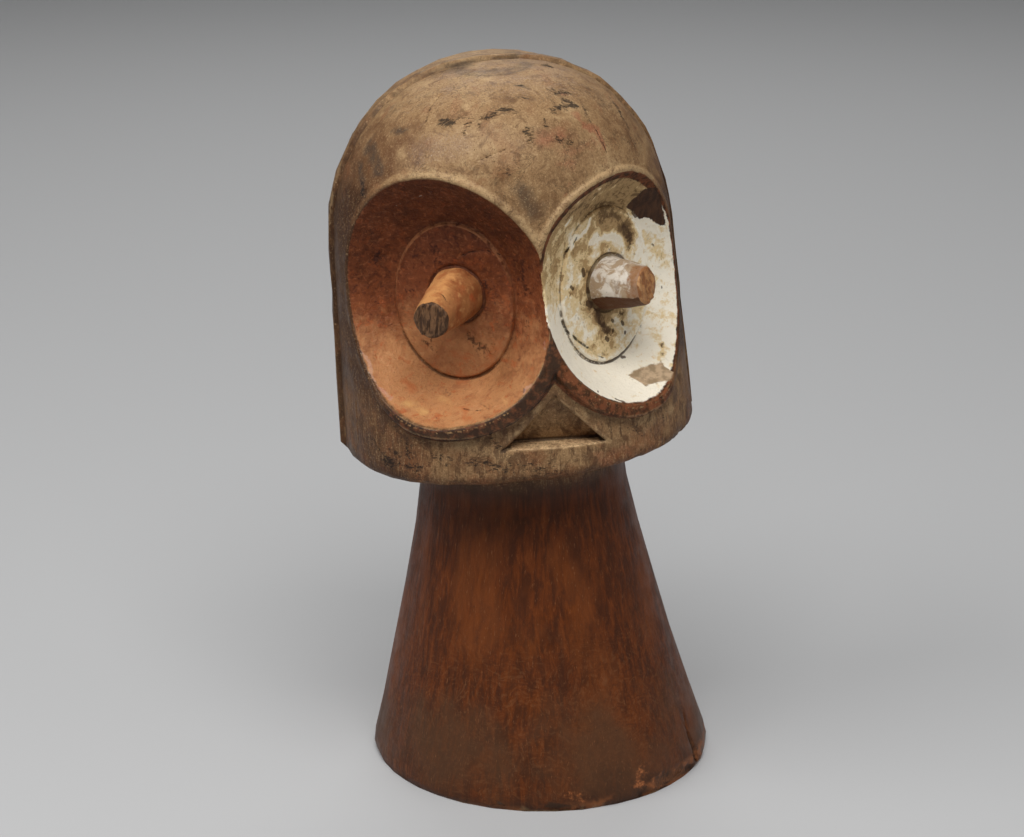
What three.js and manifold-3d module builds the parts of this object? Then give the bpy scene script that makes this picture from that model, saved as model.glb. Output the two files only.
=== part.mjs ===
// Janus figure: a wooden head with a face on each side, on a flared neck, carved from one block.
// Millimetres and degrees, +Z up. The underside's centre is the origin and one face looks along -Y.
import * as THREE from 'three';
import { mergeVertices } from 'three/addons/utils/BufferGeometryUtils.js';
import Module from 'manifold-3d';

// Whole carving: it stands on a flat underside and leans a little towards -X.
const LEAN = 3.65;

// Flared neck, given as radius and height along its leaning axis.
const NECK_PROFILE = [
  [70.8, 0],
  [71.4, 2],
  [70.7, 6],
  [66, 22],
  [59.4, 47],
  [53, 73],
  [46.8, 100],
  [43, 121],
  [40.5, 150],
];
const NECK_SIDES = 48;
const NECK_ROWS = 9;

// Breaks in the base's lower edge: bearing from the front, width, height and depth.
const CHIP_SLANT = 35;
const BASE_CHIPS = [
  { bearing: 45, width: 22, height: 4, depth: 3 },
  { bearing: 6, width: 20, height: 1.5, depth: 2 },
  { bearing: -30, width: 20, height: 2, depth: 2 },
  { bearing: 152, width: 24, height: 3, depth: 3 },
];

// Head: half width and half depth at its lower edge and where the dome starts, and its heights.
const HEAD_BOTTOM = 142.8;
const HEAD_TOP = 298.5;
const HALF_WIDTH_LOW = 72.8;
const HALF_WIDTH_HIGH = 69.2;
const WIDTH_DOME_START = 221;
const WIDTH_DOME_POWER = 2.25;
const HALF_DEPTH_LOW = 67;
const HALF_DEPTH_HIGH = 62.8;
const DEPTH_DOME_START = 241;
const DEPTH_DOME_POWER = 2.7;
const LOWER_EDGE_ROUNDING = 4;
const HEAD_SIDES = 48;
const ROUNDING_ROWS = 3;
const SIDE_ROWS = 5;
const DOME_ROWS = 11;

// The head's plan is fuller on a face's left cheek and flatter on its right one.
const FULL_CHEEK_POWER = 2.44;
const FLAT_CHEEK_POWER = 1.95;

// The head's middle line bows a little sideways.
const HEAD_SHIFT = -0.8;
const HEAD_BOW = 2.3;

// Raised seam where the two faces meet, running over the crown.
const SEAM_PROUD = 1.6;
const SEAM_WIDTH = 4.4;
const SEAM_ROWS = 30;

// Eyes: bowls sunk in planes that turn away from a face's middle line. Places in such a plane are
// measured outwards from the middle line and up from the ground.
const FACE_SHIFT = 1;
const EYE_PLANE_DISTANCE = 54;
const EYES = [
  {
    side: -1,
    turn: 31,
    rim: { across: 7, up: 217, halfWidth: 42.5, halfHeight: 49.4, roll: -1.6, upper: 2, lower: 2.6 },
    disc: { across: 7.5, up: 211.3 },
    peg: { across: 6.6, up: 214.1, length: 29.5, rise: -3.5 },
  },
  {
    side: 1,
    turn: 33,
    rim: { across: 4.2, up: 212.5, halfWidth: 40.3, halfHeight: 46.5, roll: 2.3, upper: 2.7, lower: 2.3 },
    disc: { across: 6.1, up: 210.7 },
    peg: { across: 8, up: 211, length: 22, rise: 6 },
  },
];
const DISC_HALF_WIDTH = 25.2;
const DISC_HALF_HEIGHT = 32;
const DISC_DEPTH = 8;
const DISC_RAISED = 1.3;
const DISC_HOLLOW = 1.2;
const BOWL_SIDES = 40;
const BOWL_WALL_ROWS = 3;
const BOWL_WALL_POWER = 1.2;
const BOWL_CLEARANCE = 60;
const DISC_EDGE = 0.96;

// Lip round each bowl: how far it stands proud, low and high on the face and round at its sides,
// and how wide it is, with what is added below the bowl and at the bridge between the bowls.
const LIP_PROUD_LOW = 3.6;
const LIP_PROUD_HIGH = 0.9;
const LIP_PROUD_SIDE = 0.3;
const LIP_PROUD_LOW_UP = 178;
const LIP_PROUD_HIGH_UP = 235;
const LIP_SIDE_FRONT = 0.36;
const LIP_FULL_FRONT = 0.75;
const LIP_WIDTH = 2;
const LIP_DROP = 1.8;
const LIP_BRIDGE = 4.5;

// Pegs that stand in the bowls as pupils.
const PEG_FOOT_RADIUS = 10.8;
const PEG_MIDDLE_RADIUS = 9.2;
const PEG_TIP_RADIUS = 7.2;
const PEG_TIP_ROUNDING = 1.3;
const PEG_SIDES = 20;
const PEG_ROOT = 6;

// Triangular notch below the eyes: a sloping back over a flat ledge.
const NOTCH_MIDDLE = 2.5;
const NOTCH_APEX_UP = 176.4;
const NOTCH_APEX_SHIFT = -1.2;
const NOTCH_LEDGE_UP = 156.1;
const NOTCH_TILT = 4;
const NOTCH_HALF_WIDTH = 20.5;
const NOTCH_DEPTH = 11;
const NOTCH_APEX_DEPTH = 3.5;
const NOTCH_REACH = 30;

// Smallest size that counts, below which a coordinate is rounding error.
const SMALLEST = 1e-6;

const wasm = await Module();
wasm.setup();

const radians = THREE.MathUtils.degToRad;
const mix = THREE.MathUtils.lerp;

function clamp01(value) {
  return Math.min(Math.max(value, 0), 1);
}

function signedPower(value, power) {
  return Math.sign(value) * Math.abs(value) ** power;
}

// Solid from a closed geometry: shared vertices are merged and collapsed triangles are dropped.
function solidFrom(geometry) {
  const bare = geometry.clone();
  bare.deleteAttribute('normal');
  bare.deleteAttribute('uv');
  const merged = mergeVertices(bare, 1e-4);
  const corners = merged.index.array;
  const kept = [];
  for (let i = 0; i < corners.length; i += 3) {
    const [a, b, c] = corners.slice(i, i + 3);
    if (a !== b && b !== c && c !== a) kept.push(a, b, c);
  }
  return new wasm.Manifold(new wasm.Mesh({
    numProp: 3,
    vertProperties: new Float32Array(merged.attributes.position.array),
    triVerts: new Uint32Array(kept),
  }));
}

function geometryFrom(solid) {
  const mesh = solid.getMesh();
  const geometry = new THREE.BufferGeometry();
  const places = new Float32Array(mesh.vertProperties);
  geometry.setAttribute('position', new THREE.BufferAttribute(places, 3));
  geometry.setIndex(new THREE.BufferAttribute(new Uint32Array(mesh.triVerts), 1));
  geometry.computeVertexNormals();
  return geometry;
}

// Turned form about Z from a profile of [radius, height], each vertex then moved by place(x, y, z).
function turned(profile, sides, place) {
  const points = profile.map(([radius, height]) => new THREE.Vector2(radius, height));
  const geometry = new THREE.LatheGeometry(points, sides);
  geometry.rotateX(Math.PI / 2);
  const position = geometry.attributes.position;
  for (let i = 0; i < position.count; i += 1) {
    const corner = [position.getX(i), position.getY(i), position.getZ(i)];
    const [x, y, z] = place(...corner.map((value) => (Math.abs(value) < SMALLEST ? 0 : value)));
    position.setXYZ(i, x, y, z);
  }
  return geometry;
}

// Head widths

function domeFactor(height, start, power) {
  const rise = clamp01((height - start) / (HEAD_TOP - start));
  return (1 - rise ** power) ** (1 / power);
}

function edgeInset(height) {
  const below = clamp01((HEAD_BOTTOM + LOWER_EDGE_ROUNDING - height) / LOWER_EDGE_ROUNDING);
  return LOWER_EDGE_ROUNDING * (1 - Math.sqrt(1 - below ** 2));
}

function halfWidth(height) {
  const along = clamp01((height - HEAD_BOTTOM) / (WIDTH_DOME_START - HEAD_BOTTOM));
  const straight = mix(HALF_WIDTH_LOW, HALF_WIDTH_HIGH, along) - edgeInset(height);
  return straight * domeFactor(height, WIDTH_DOME_START, WIDTH_DOME_POWER);
}

function halfDepth(height) {
  const along = clamp01((height - HEAD_BOTTOM) / (DEPTH_DOME_START - HEAD_BOTTOM));
  const straight = mix(HALF_DEPTH_LOW, HALF_DEPTH_HIGH, along) - edgeInset(height);
  return straight * domeFactor(height, DEPTH_DOME_START, DEPTH_DOME_POWER);
}

function sway(height) {
  const along = (height - HEAD_BOTTOM) / (HEAD_TOP - HEAD_BOTTOM);
  return HEAD_SHIFT - HEAD_BOW * Math.sin(clamp01(along) * (Math.PI / 2));
}

// Front is 1 where the head faces straight ahead and 0 at the seam.
function lipProud(height, front) {
  const along = clamp01((height - LIP_PROUD_LOW_UP) / (LIP_PROUD_HIGH_UP - LIP_PROUD_LOW_UP));
  const share = THREE.MathUtils.smoothstep(front, LIP_SIDE_FRONT, LIP_FULL_FRONT);
  return mix(LIP_PROUD_SIDE, mix(LIP_PROUD_LOW, LIP_PROUD_HIGH, along), share);
}

// Bend of the plan's outline, from the full cheek round to the flat one.
function planPower(across) {
  return mix(FULL_CHEEK_POWER, FLAT_CHEEK_POWER, THREE.MathUtils.smoothstep(across, -0.3, 0.3));
}

// Head form, its plan the same after a half turn. It can be grown outwards by grow(height, front).
function headForm(grow = () => 0) {
  const profile = [[0, HEAD_BOTTOM], [1, HEAD_BOTTOM]];
  for (let i = 1; i <= ROUNDING_ROWS; i += 1) {
    const turn = (i / ROUNDING_ROWS) * (Math.PI / 2);
    profile.push([1, HEAD_BOTTOM + LOWER_EDGE_ROUNDING * (1 - Math.cos(turn))]);
  }
  const sideStart = HEAD_BOTTOM + LOWER_EDGE_ROUNDING;
  for (let i = 1; i <= SIDE_ROWS; i += 1) {
    profile.push([1, mix(sideStart, WIDTH_DOME_START, i / SIDE_ROWS)]);
  }
  for (let i = 1; i < DOME_ROWS; i += 1) {
    profile.push([1, mix(WIDTH_DOME_START, HEAD_TOP, Math.sin((i / DOME_ROWS) * Math.PI / 2))]);
  }
  profile.push([0, HEAD_TOP]);
  return turned(profile, HEAD_SIDES, (x, y, z) => {
    const reach = Math.hypot(x, y);
    if (reach === 0) return [sway(z), 0, z];
    const facing = y <= 0 ? 1 : -1;
    const across = facing * x / reach;
    const front = Math.abs(y) / reach;
    const power = planPower(across);
    const wide = halfWidth(z) * signedPower(across, 2 / power);
    const deep = halfDepth(z) * front ** (2 / power);
    const size = Math.hypot(wide, deep);
    const stretch = size > 0 ? reach * (1 + grow(z, front) / size) : 0;
    return [sway(z) + facing * wide * stretch, -facing * deep * stretch, z];
  });
}

// Seam band: the head's outline seen from the front, a little larger, across the middle of its depth.
function seamForm() {
  const outline = new THREE.Shape();
  const edge = [];
  for (let i = 0; i <= SEAM_ROWS; i += 1) {
    const height = mix(HEAD_BOTTOM, HEAD_TOP, Math.sin((i / SEAM_ROWS) * (Math.PI / 2)));
    edge.push([halfWidth(height), height]);
  }
  const middle = (HEAD_BOTTOM + HEAD_TOP) / 2;
  const outward = ([wide, height]) => {
    const rise = clamp01((height - middle) / (HEAD_TOP - middle));
    return [wide + SEAM_PROUD * Math.sqrt(1 - rise ** 4), height + SEAM_PROUD * rise ** 2];
  };
  const right = edge.map(outward);
  right.forEach(([wide, height], i) => {
    const x = sway(height) + wide;
    if (i === 0) outline.moveTo(x, height);
    else outline.lineTo(x, height);
  });
  right.slice(0, -1).reverse().forEach(([wide, height]) => {
    outline.lineTo(sway(height) - wide, height);
  });
  const geometry = new THREE.ExtrudeGeometry(outline, { depth: SEAM_WIDTH, bevelEnabled: false });
  geometry.rotateX(Math.PI / 2);
  geometry.translate(0, SEAM_WIDTH / 2, 0);
  return geometry;
}

// How far a point lies outside the head's surface, below 0 inside it.
function outsideHead(x, y, z) {
  const wide = x - sway(z);
  const facing = y <= 0 ? 1 : -1;
  const across = (facing * wide) / halfWidth(z);
  const front = Math.abs(y) / halfDepth(z);
  const power = planPower(across / Math.hypot(across, front));
  const size = (Math.abs(across) ** power + front ** power) ** (1 / power);
  return Math.hypot(wide, y) * (1 - 1 / size);
}

// Directions of an eye's plane: outwards from the middle line, and away from the face.
function eyeAxes(eye) {
  const turn = radians(eye.turn);
  return {
    outwards: new THREE.Vector3(eye.side * Math.cos(turn), Math.sin(turn), 0),
    away: new THREE.Vector3(eye.side * Math.sin(turn), -Math.cos(turn), 0),
  };
}

// Place in the head of a point of an eye's plane, raised off that plane by height.
function eyePoint(eye, across, up, height) {
  const { outwards, away } = eyeAxes(eye);
  return new THREE.Vector3(FACE_SHIFT, 0, up)
    .addScaledVector(outwards, across)
    .addScaledVector(away, EYE_PLANE_DISTANCE + height);
}

// A geometry made in an eye's plane, set in the head. The left eye's frame is mirrored, so its
// triangles are turned over to keep their faces outwards.
function setInEye(geometry, eye) {
  const { outwards, away } = eyeAxes(eye);
  const frame = new THREE.Matrix4().makeBasis(outwards, new THREE.Vector3(0, 0, 1), away);
  geometry.applyMatrix4(frame.setPosition(eyePoint(eye, 0, 0, 0)));
  if (eye.side > 0) return geometry;
  const corners = geometry.index.array;
  for (let i = 0; i < corners.length; i += 3) {
    [corners[i], corners[i + 1]] = [corners[i + 1], corners[i]];
  }
  return geometry;
}

// Point of an eye's rim, whose side next to the middle line can be squarer than an ellipse.
function rimPoint(eye, angle) {
  const { across, up, halfWidth: wide, halfHeight: tall, roll, upper, lower } = eye.rim;
  const cos = Math.cos(angle);
  const sin = Math.sin(angle);
  const bend = mix(2, sin > 0 ? upper : lower, clamp01(-cos));
  const rise = tall * signedPower(sin, 2 / bend);
  return [across + wide * signedPower(cos, 2 / bend) - rise * Math.tan(radians(roll)), up + rise];
}

// How far the lip stands above the eye's plane at a point of it, found by halving.
function lipHeight(eye, across, up) {
  let low = -40;
  let high = 40;
  for (let i = 0; i < 30; i += 1) {
    const middle = (low + high) / 2;
    const { x, y, z } = eyePoint(eye, across, up, middle);
    const front = Math.abs(y) / Math.hypot(x - sway(z), y);
    if (outsideHead(x, y, z) < lipProud(z, front)) low = middle;
    else high = middle;
  }
  return low;
}

// Bowl that is cut out for an eye, with its raised disc left standing in the middle. Rings 0 to 1
// lie on the disc, rings 1 to 2 climb from its foot to the rim.
function bowlForm(eye) {
  const discTop = DISC_RAISED - DISC_DEPTH;
  const profile = [[0, 0], [DISC_EDGE / 2, 0], [DISC_EDGE, 0], [1, 0]];
  for (let i = 1; i <= BOWL_WALL_ROWS; i += 1) profile.push([1 + i / BOWL_WALL_ROWS, 0]);
  profile.push([2, BOWL_CLEARANCE], [0, BOWL_CLEARANCE]);
  return turned(profile, BOWL_SIDES, (x, y, z) => {
    const ring = Math.hypot(x, y);
    const angle = Math.atan2(y, x);
    const reach = Math.min(ring, 1);
    const climb = clamp01(ring - 1);
    const discAcross = eye.disc.across + DISC_HALF_WIDTH * reach * Math.cos(angle);
    const discUp = eye.disc.up + DISC_HALF_HEIGHT * reach * Math.sin(angle);
    const [rimAcross, rimUp] = rimPoint(eye, angle);
    const across = mix(discAcross, rimAcross, climb);
    const up = mix(discUp, rimUp, climb);
    if (z > 0) return [across, up, z];
    if (ring < 1 - SMALLEST) {
      return [across, up, discTop - DISC_HOLLOW * (1 - (ring / DISC_EDGE) ** 2)];
    }
    const edge = lipHeight(eye, rimAcross, rimUp);
    return [across, up, mix(-DISC_DEPTH, edge, climb ** BOWL_WALL_POWER)];
  });
}

// Oval block whose part inside the grown head becomes the lip round a bowl.
function lipForm(eye) {
  const low = -EYE_PLANE_DISTANCE / 2;
  const profile = [[0, low], [1, low], [1, BOWL_CLEARANCE], [0, BOWL_CLEARANCE]];
  return turned(profile, BOWL_SIDES, (x, y, z) => {
    const [rimAcross, rimUp] = rimPoint(eye, Math.atan2(y, x));
    const out = rimAcross - eye.rim.across;
    const rise = rimUp - eye.rim.up;
    const lower = clamp01(-rise / eye.rim.halfHeight);
    const inner = clamp01(-out / eye.rim.halfWidth);
    const lip = LIP_WIDTH + LIP_DROP * lower ** 2 + LIP_BRIDGE * inner * lower;
    const spread = 1 + lip / Math.hypot(out, rise);
    const share = Math.hypot(x, y) * spread;
    return [eye.rim.across + out * share, eye.rim.up + rise * share, z];
  });
}

// Tapered peg with its root in the disc.
function pegForm(eye) {
  const { across, up, length, rise } = eye.peg;
  const profile = [
    [0, -PEG_ROOT],
    [PEG_FOOT_RADIUS, -PEG_ROOT],
    [PEG_FOOT_RADIUS, 1],
    [PEG_MIDDLE_RADIUS, length / 2],
    [PEG_TIP_RADIUS, length - PEG_TIP_ROUNDING],
    [PEG_TIP_RADIUS - PEG_TIP_ROUNDING, length],
    [0, length],
  ];
  const geometry = turned(profile, PEG_SIDES, (x, y, z) => [x, y, z]);
  geometry.rotateX(-radians(rise));
  geometry.translate(across, up, DISC_RAISED - DISC_DEPTH - DISC_HOLLOW);
  return geometry;
}

// Notch between the lips: its side view swept across, kept inside a triangle seen from the front.
function notchSolid() {
  const front = HALF_DEPTH_LOW;
  const side = new THREE.Shape([
    new THREE.Vector2(front - NOTCH_APEX_DEPTH, NOTCH_APEX_UP),
    new THREE.Vector2(front - NOTCH_DEPTH, NOTCH_LEDGE_UP),
    new THREE.Vector2(front + NOTCH_REACH, NOTCH_LEDGE_UP),
    new THREE.Vector2(front + NOTCH_REACH, NOTCH_APEX_UP),
  ]);
  const sweep = 3 * NOTCH_HALF_WIDTH;
  const swept = new THREE.ExtrudeGeometry(side, { depth: sweep, bevelEnabled: false });
  swept.translate(0, 0, -sweep / 2);
  swept.applyMatrix4(new THREE.Matrix4().makeBasis(
    new THREE.Vector3(0, -1, 0),
    new THREE.Vector3(0, 0, 1),
    new THREE.Vector3(-1, 0, 0),
  ));
  const triangle = new THREE.Shape([
    new THREE.Vector2(NOTCH_APEX_SHIFT, NOTCH_APEX_UP),
    new THREE.Vector2(-NOTCH_HALF_WIDTH, NOTCH_LEDGE_UP),
    new THREE.Vector2(NOTCH_HALF_WIDTH, NOTCH_LEDGE_UP),
  ]);
  const reach = HALF_DEPTH_LOW + 2 * NOTCH_REACH;
  const prism = new THREE.ExtrudeGeometry(triangle, { depth: reach, bevelEnabled: false });
  prism.rotateX(Math.PI / 2);
  const notch = solidFrom(swept).intersect(solidFrom(prism));
  const level = notch.translate([0, 0, -NOTCH_LEDGE_UP]).rotate([0, NOTCH_TILT, 0]);
  return level.translate([NOTCH_MIDDLE, 0, NOTCH_LEDGE_UP]);
}

// A solid and its copy turned half way round the head's middle line, for the face at the back.
function onBothFaces(solid) {
  const middle = sway(EYES[0].rim.up);
  const back = solid.translate([-middle, 0, 0]).rotate([0, 0, 180]).translate([middle, 0, 0]);
  return [solid, back];
}

function addAll(solid, others) {
  return others.reduce((sum, other) => sum.add(other), solid);
}

function subtractAll(solid, others) {
  return others.reduce((rest, other) => rest.subtract(other), solid);
}

function carvedHead() {
  let head = solidFrom(headForm());
  const grown = solidFrom(headForm(lipProud));
  const lips = EYES.map((eye) => solidFrom(setInEye(lipForm(eye), eye)).intersect(grown));
  const bowls = EYES.map((eye) => solidFrom(setInEye(bowlForm(eye), eye)));
  const pegs = EYES.map((eye) => solidFrom(setInEye(pegForm(eye), eye)));
  head = addAll(head, lips.flatMap(onBothFaces));
  head = subtractAll(head, bowls.flatMap(onBothFaces));
  head = subtractAll(head, onBothFaces(notchSolid()));
  head = addAll(head, pegs.flatMap(onBothFaces));
  return head.add(solidFrom(seamForm()));
}

// Neck sections stay level while their centres follow the lean.
function neckForm() {
  const curve = new THREE.SplineCurve(NECK_PROFILE.slice(1).map(([r, h]) => new THREE.Vector2(r, h)));
  const profile = [[0, 0], NECK_PROFILE[0]];
  for (let i = 0; i <= NECK_ROWS; i += 1) {
    const point = curve.getPoint(i / NECK_ROWS);
    profile.push([point.x, point.y]);
  }
  profile.push([0, NECK_PROFILE.at(-1)[1]]);
  const drift = Math.tan(radians(LEAN));
  return turned(profile, NECK_SIDES, (x, y, z) => [x - drift * z, y, z]);
}

function chipSolid(chip) {
  const block = new THREE.BoxGeometry(chip.width, chip.depth * 2, chip.height * 2);
  block.rotateX(radians(CHIP_SLANT));
  block.translate(0, -NECK_PROFILE[1][0] - chip.depth / 4, 0);
  block.rotateZ(radians(chip.bearing));
  return solidFrom(block);
}

function janusFigure() {
  const head = carvedHead().rotate([0, -LEAN, 0]);
  const neck = subtractAll(solidFrom(neckForm()), BASE_CHIPS.map(chipSolid));
  return geometryFrom(head.add(neck));
}

const wood = new THREE.MeshStandardMaterial({ color: 0x7a5138, roughness: 0.55, metalness: 0 });

const figure = new THREE.Mesh(janusFigure(), wood);
figure.name = 'janus_figure';

const part = new THREE.Group();
part.add(figure);

export default part;
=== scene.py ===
"""Janus figure: the carved wooden head on its neck, with its fine relief, wood and pigments.

Sizes are in millimetres until the mesh is made, in the same frame as the solid: +Z up, one face
looking along -Y, the origin at the centre of the underside.
"""

import math

import bpy
import numpy as np
from mathutils import Euler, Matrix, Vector


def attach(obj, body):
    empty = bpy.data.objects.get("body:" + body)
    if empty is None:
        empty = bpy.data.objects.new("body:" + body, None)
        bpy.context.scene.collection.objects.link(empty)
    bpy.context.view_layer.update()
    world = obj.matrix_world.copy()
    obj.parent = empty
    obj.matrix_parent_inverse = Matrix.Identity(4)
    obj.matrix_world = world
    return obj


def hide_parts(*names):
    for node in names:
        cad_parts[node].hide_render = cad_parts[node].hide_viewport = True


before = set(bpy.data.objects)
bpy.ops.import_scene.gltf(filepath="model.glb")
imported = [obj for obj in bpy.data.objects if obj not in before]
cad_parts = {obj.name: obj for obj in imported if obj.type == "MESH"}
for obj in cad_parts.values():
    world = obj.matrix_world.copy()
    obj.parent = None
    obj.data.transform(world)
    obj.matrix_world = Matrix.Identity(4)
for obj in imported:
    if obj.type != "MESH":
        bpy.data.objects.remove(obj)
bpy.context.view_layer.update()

# ---------------------------------------------------------------- sizes shared with the solid

LEAN = math.radians(3.65)
NECK_PROFILE = [
    (70.8, 0), (71.4, 2), (70.7, 6), (66, 22), (59.4, 47), (53, 73), (46.8, 100), (43, 121), (40.5, 150)
]
NECK_TOP = 150.0
HEAD_BOTTOM, HEAD_TOP = 142.8, 298.5
HALF_WIDTH_LOW, HALF_WIDTH_HIGH, WIDTH_DOME_START, WIDTH_DOME_POWER = 72.8, 69.2, 221.0, 2.25
HALF_DEPTH_LOW, HALF_DEPTH_HIGH, DEPTH_DOME_START, DEPTH_DOME_POWER = 67.0, 62.8, 241.0, 2.7
LOWER_EDGE_ROUNDING = 4.0
FULL_CHEEK_POWER, FLAT_CHEEK_POWER = 2.44, 1.95
HEAD_SHIFT, HEAD_BOW = -0.8, 2.3
SEAM_PROUD, SEAM_WIDTH, SEAM_GROOVE = 1.6, 4.4, 0.5
FACE_SHIFT, EYE_PLANE_DISTANCE = 1.0, 54.0
RED = dict(
    side=-1, turn=math.radians(31), across=7.0, up=217.0, wide=42.5, tall=49.4,
    roll=math.tan(math.radians(-1.6)), upper=2.0, lower=2.6, disc=(7.5, 211.3),
    peg=(6.6, 214.1), length=29.5, rise=math.radians(-3.5), ridge=math.radians(50), cut=math.radians(-125), slant=0.0,
)
WHITE = dict(
    side=1, turn=math.radians(33), across=4.2, up=212.5, wide=40.3, tall=46.5,
    roll=math.tan(math.radians(2.3)), upper=2.7, lower=2.3, disc=(6.1, 210.7),
    peg=(8.0, 211.0), length=22.0, rise=math.radians(6), ridge=math.radians(130), cut=math.radians(205), slant=math.radians(
        18
    ),
)
DISC_HALF_WIDTH, DISC_HALF_HEIGHT, DISC_DEPTH, DISC_RAISED, DISC_HOLLOW = 25.2, 32.0, 8.0, 1.3, 1.2
DISC_EDGE = 0.96
BOWL_WALL_POWER = 1.2
LIP_PROUD_LOW, LIP_PROUD_HIGH, LIP_PROUD_SIDE = 3.6, 0.9, 0.3
LIP_PROUD_LOW_UP, LIP_PROUD_HIGH_UP = 178.0, 235.0
LIP_SIDE_FRONT, LIP_FULL_FRONT = 0.36, 0.75
LIP_WIDTH, LIP_DROP, LIP_BRIDGE = 2.0, 1.8, 4.5
PEG_RADII = (10.8, 9.2, 7.2)
PEG_TIP_ROUNDING, PEG_FOOT_FILLET = 1.3, 1.4
EDGE_ROUNDING = 0.8
NOTCH_MIDDLE, NOTCH_TILT = 2.5, math.radians(4)
NOTCH_APEX_UP, NOTCH_APEX_SHIFT, NOTCH_LEDGE_UP = 176.4, -1.2, 156.1
NOTCH_HALF_WIDTH, NOTCH_DEPTH, NOTCH_APEX_DEPTH = 20.5, 11.0, 3.5

# Mesh: grid pitch, triangles kept, and how far off a place is felt to be in a crevice.
PITCH = 0.62
TRIANGLES = 196000
CREVICE_REACH = 1.5
MM = 0.001

# ---------------------------------------------------------------- small maths


def mix(a, b, t):
    return a + (b - a) * t


def clamp01(t):
    return np.clip(t, 0.0, 1.0)


def smoothstep(x, low, high):
    t = clamp01((x - low) / (high - low))
    return t * t * (3 - 2 * t)


def smooth_min(a, b, k):
    h = clamp01(0.5 + 0.5 * (b - a) / k)
    return mix(b, a, h) - k * h * (1 - h)


def smooth_max(a, b, k):
    return -smooth_min(-a, -b, k)


def value_noise(p, seed):
    """Smooth noise from -1 to 1 at points p, one cell per unit."""
    base = np.floor(p).astype(np.int64)
    t = (p - base).astype(np.float32)
    t = t * t * t * (t * (t * 6 - 15) + 10)
    total = np.zeros(len(p), np.float32)
    for dx in (0, 1):
        for dy in (0, 1):
            for dz in (0, 1):
                c = (base + (dx, dy, dz)).astype(np.uint32)
                h = c[:, 0] * np.uint32(0x9E3779B1) ^ c[:, 1] * np.uint32(0x85EBCA77)
                h ^= c[:, 2] * np.uint32(0xC2B2AE3D) ^ np.uint32(seed * 2654435 + 97)
                h ^= h >> np.uint32(15)
                h *= np.uint32(0x2C1B3C6D)
                h ^= h >> np.uint32(12)
                h *= np.uint32(0x297A2D39)
                h ^= h >> np.uint32(15)
                value = h.astype(np.float32) / np.float32(2**31) - 1
                wx = t[:, 0] if dx else 1 - t[:, 0]
                wy = t[:, 1] if dy else 1 - t[:, 1]
                wz = t[:, 2] if dz else 1 - t[:, 2]
                total += value * wx * wy * wz
    return total


# ---------------------------------------------------------------- the carved form as a field

def dome_factor(height, start, power):
    rise = clamp01((height - start) / (HEAD_TOP - start))
    return (1 - rise**power) ** (1 / power)


def edge_inset(height):
    below = clamp01((HEAD_BOTTOM + LOWER_EDGE_ROUNDING - height) / LOWER_EDGE_ROUNDING)
    return LOWER_EDGE_ROUNDING * (1 - np.sqrt(1 - below**2))


def half_size(height, low, high, start, power):
    along = clamp01((height - HEAD_BOTTOM) / (start - HEAD_BOTTOM))
    straight = mix(low, high, along) - edge_inset(height)
    return np.maximum(straight * dome_factor(height, start, power), 1e-3)


# The half sizes are kept against the root of the depth below the top, where the dome runs straight.
ROOTS = np.linspace(math.sqrt(HEAD_TOP - HEAD_BOTTOM + 12), 0, 6000)
ROOT_HEIGHTS = HEAD_TOP - ROOTS**2
HALF_WIDTHS = half_size(ROOT_HEIGHTS, HALF_WIDTH_LOW, HALF_WIDTH_HIGH, WIDTH_DOME_START, WIDTH_DOME_POWER)
HALF_DEPTHS = half_size(ROOT_HEIGHTS, HALF_DEPTH_LOW, HALF_DEPTH_HIGH, DEPTH_DOME_START, DEPTH_DOME_POWER)
WIDTH_SHARES = np.gradient(HALF_WIDTHS, ROOT_HEIGHTS) / HALF_WIDTHS
DEPTH_SHARES = np.gradient(HALF_DEPTHS, ROOT_HEIGHTS) / HALF_DEPTHS


def sway(height):
    along = clamp01((height - HEAD_BOTTOM) / (HEAD_TOP - HEAD_BOTTOM))
    return HEAD_SHIFT - HEAD_BOW * np.sin(along * (math.pi / 2))


BACK_MIDDLE = float(sway(RED["up"]))


def outside_head(u, v, w):
    """Distance outside the plain head, negative inside, and how squarely the place faces front."""
    wide = u - sway(w)
    facing = np.where(v <= 0, 1, -1)
    reach = np.hypot(wide, v) + 1e-6
    place = (1 - np.sqrt(np.maximum(HEAD_TOP - w, 0)) / ROOTS[0]) * (len(ROOTS) - 1)
    first = np.clip(place.astype(np.int32), 0, len(ROOTS) - 2)
    share = clamp01(place - first)
    a = facing * wide / reach / mix(HALF_WIDTHS[first], HALF_WIDTHS[first + 1], share)
    b = np.abs(v) / reach / mix(HALF_DEPTHS[first], HALF_DEPTHS[first + 1], share)
    across = a / np.hypot(a, b)
    power = mix(FULL_CHEEK_POWER, FLAT_CHEEK_POWER, smoothstep(across, -0.3, 0.3))
    part_a, part_b = np.abs(a) ** power, b**power
    radius = (part_a + part_b) ** (-1 / power)
    slope = radius * (part_a * WIDTH_SHARES[first] + part_b * DEPTH_SHARES[first]) / (part_a + part_b)
    side = (reach - radius) / np.sqrt(1 + np.minimum(slope**2, 900))
    shape = np.maximum(side, w - HEAD_TOP)
    return smooth_max(shape, HEAD_BOTTOM - w, EDGE_ROUNDING), np.abs(v) / reach


def lip_proud(height, front):
    along = clamp01((height - LIP_PROUD_LOW_UP) / (LIP_PROUD_HIGH_UP - LIP_PROUD_LOW_UP))
    share = smoothstep(front, LIP_SIDE_FRONT, LIP_FULL_FRONT)
    return mix(LIP_PROUD_SIDE, mix(LIP_PROUD_LOW, LIP_PROUD_HIGH, along), share)


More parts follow.
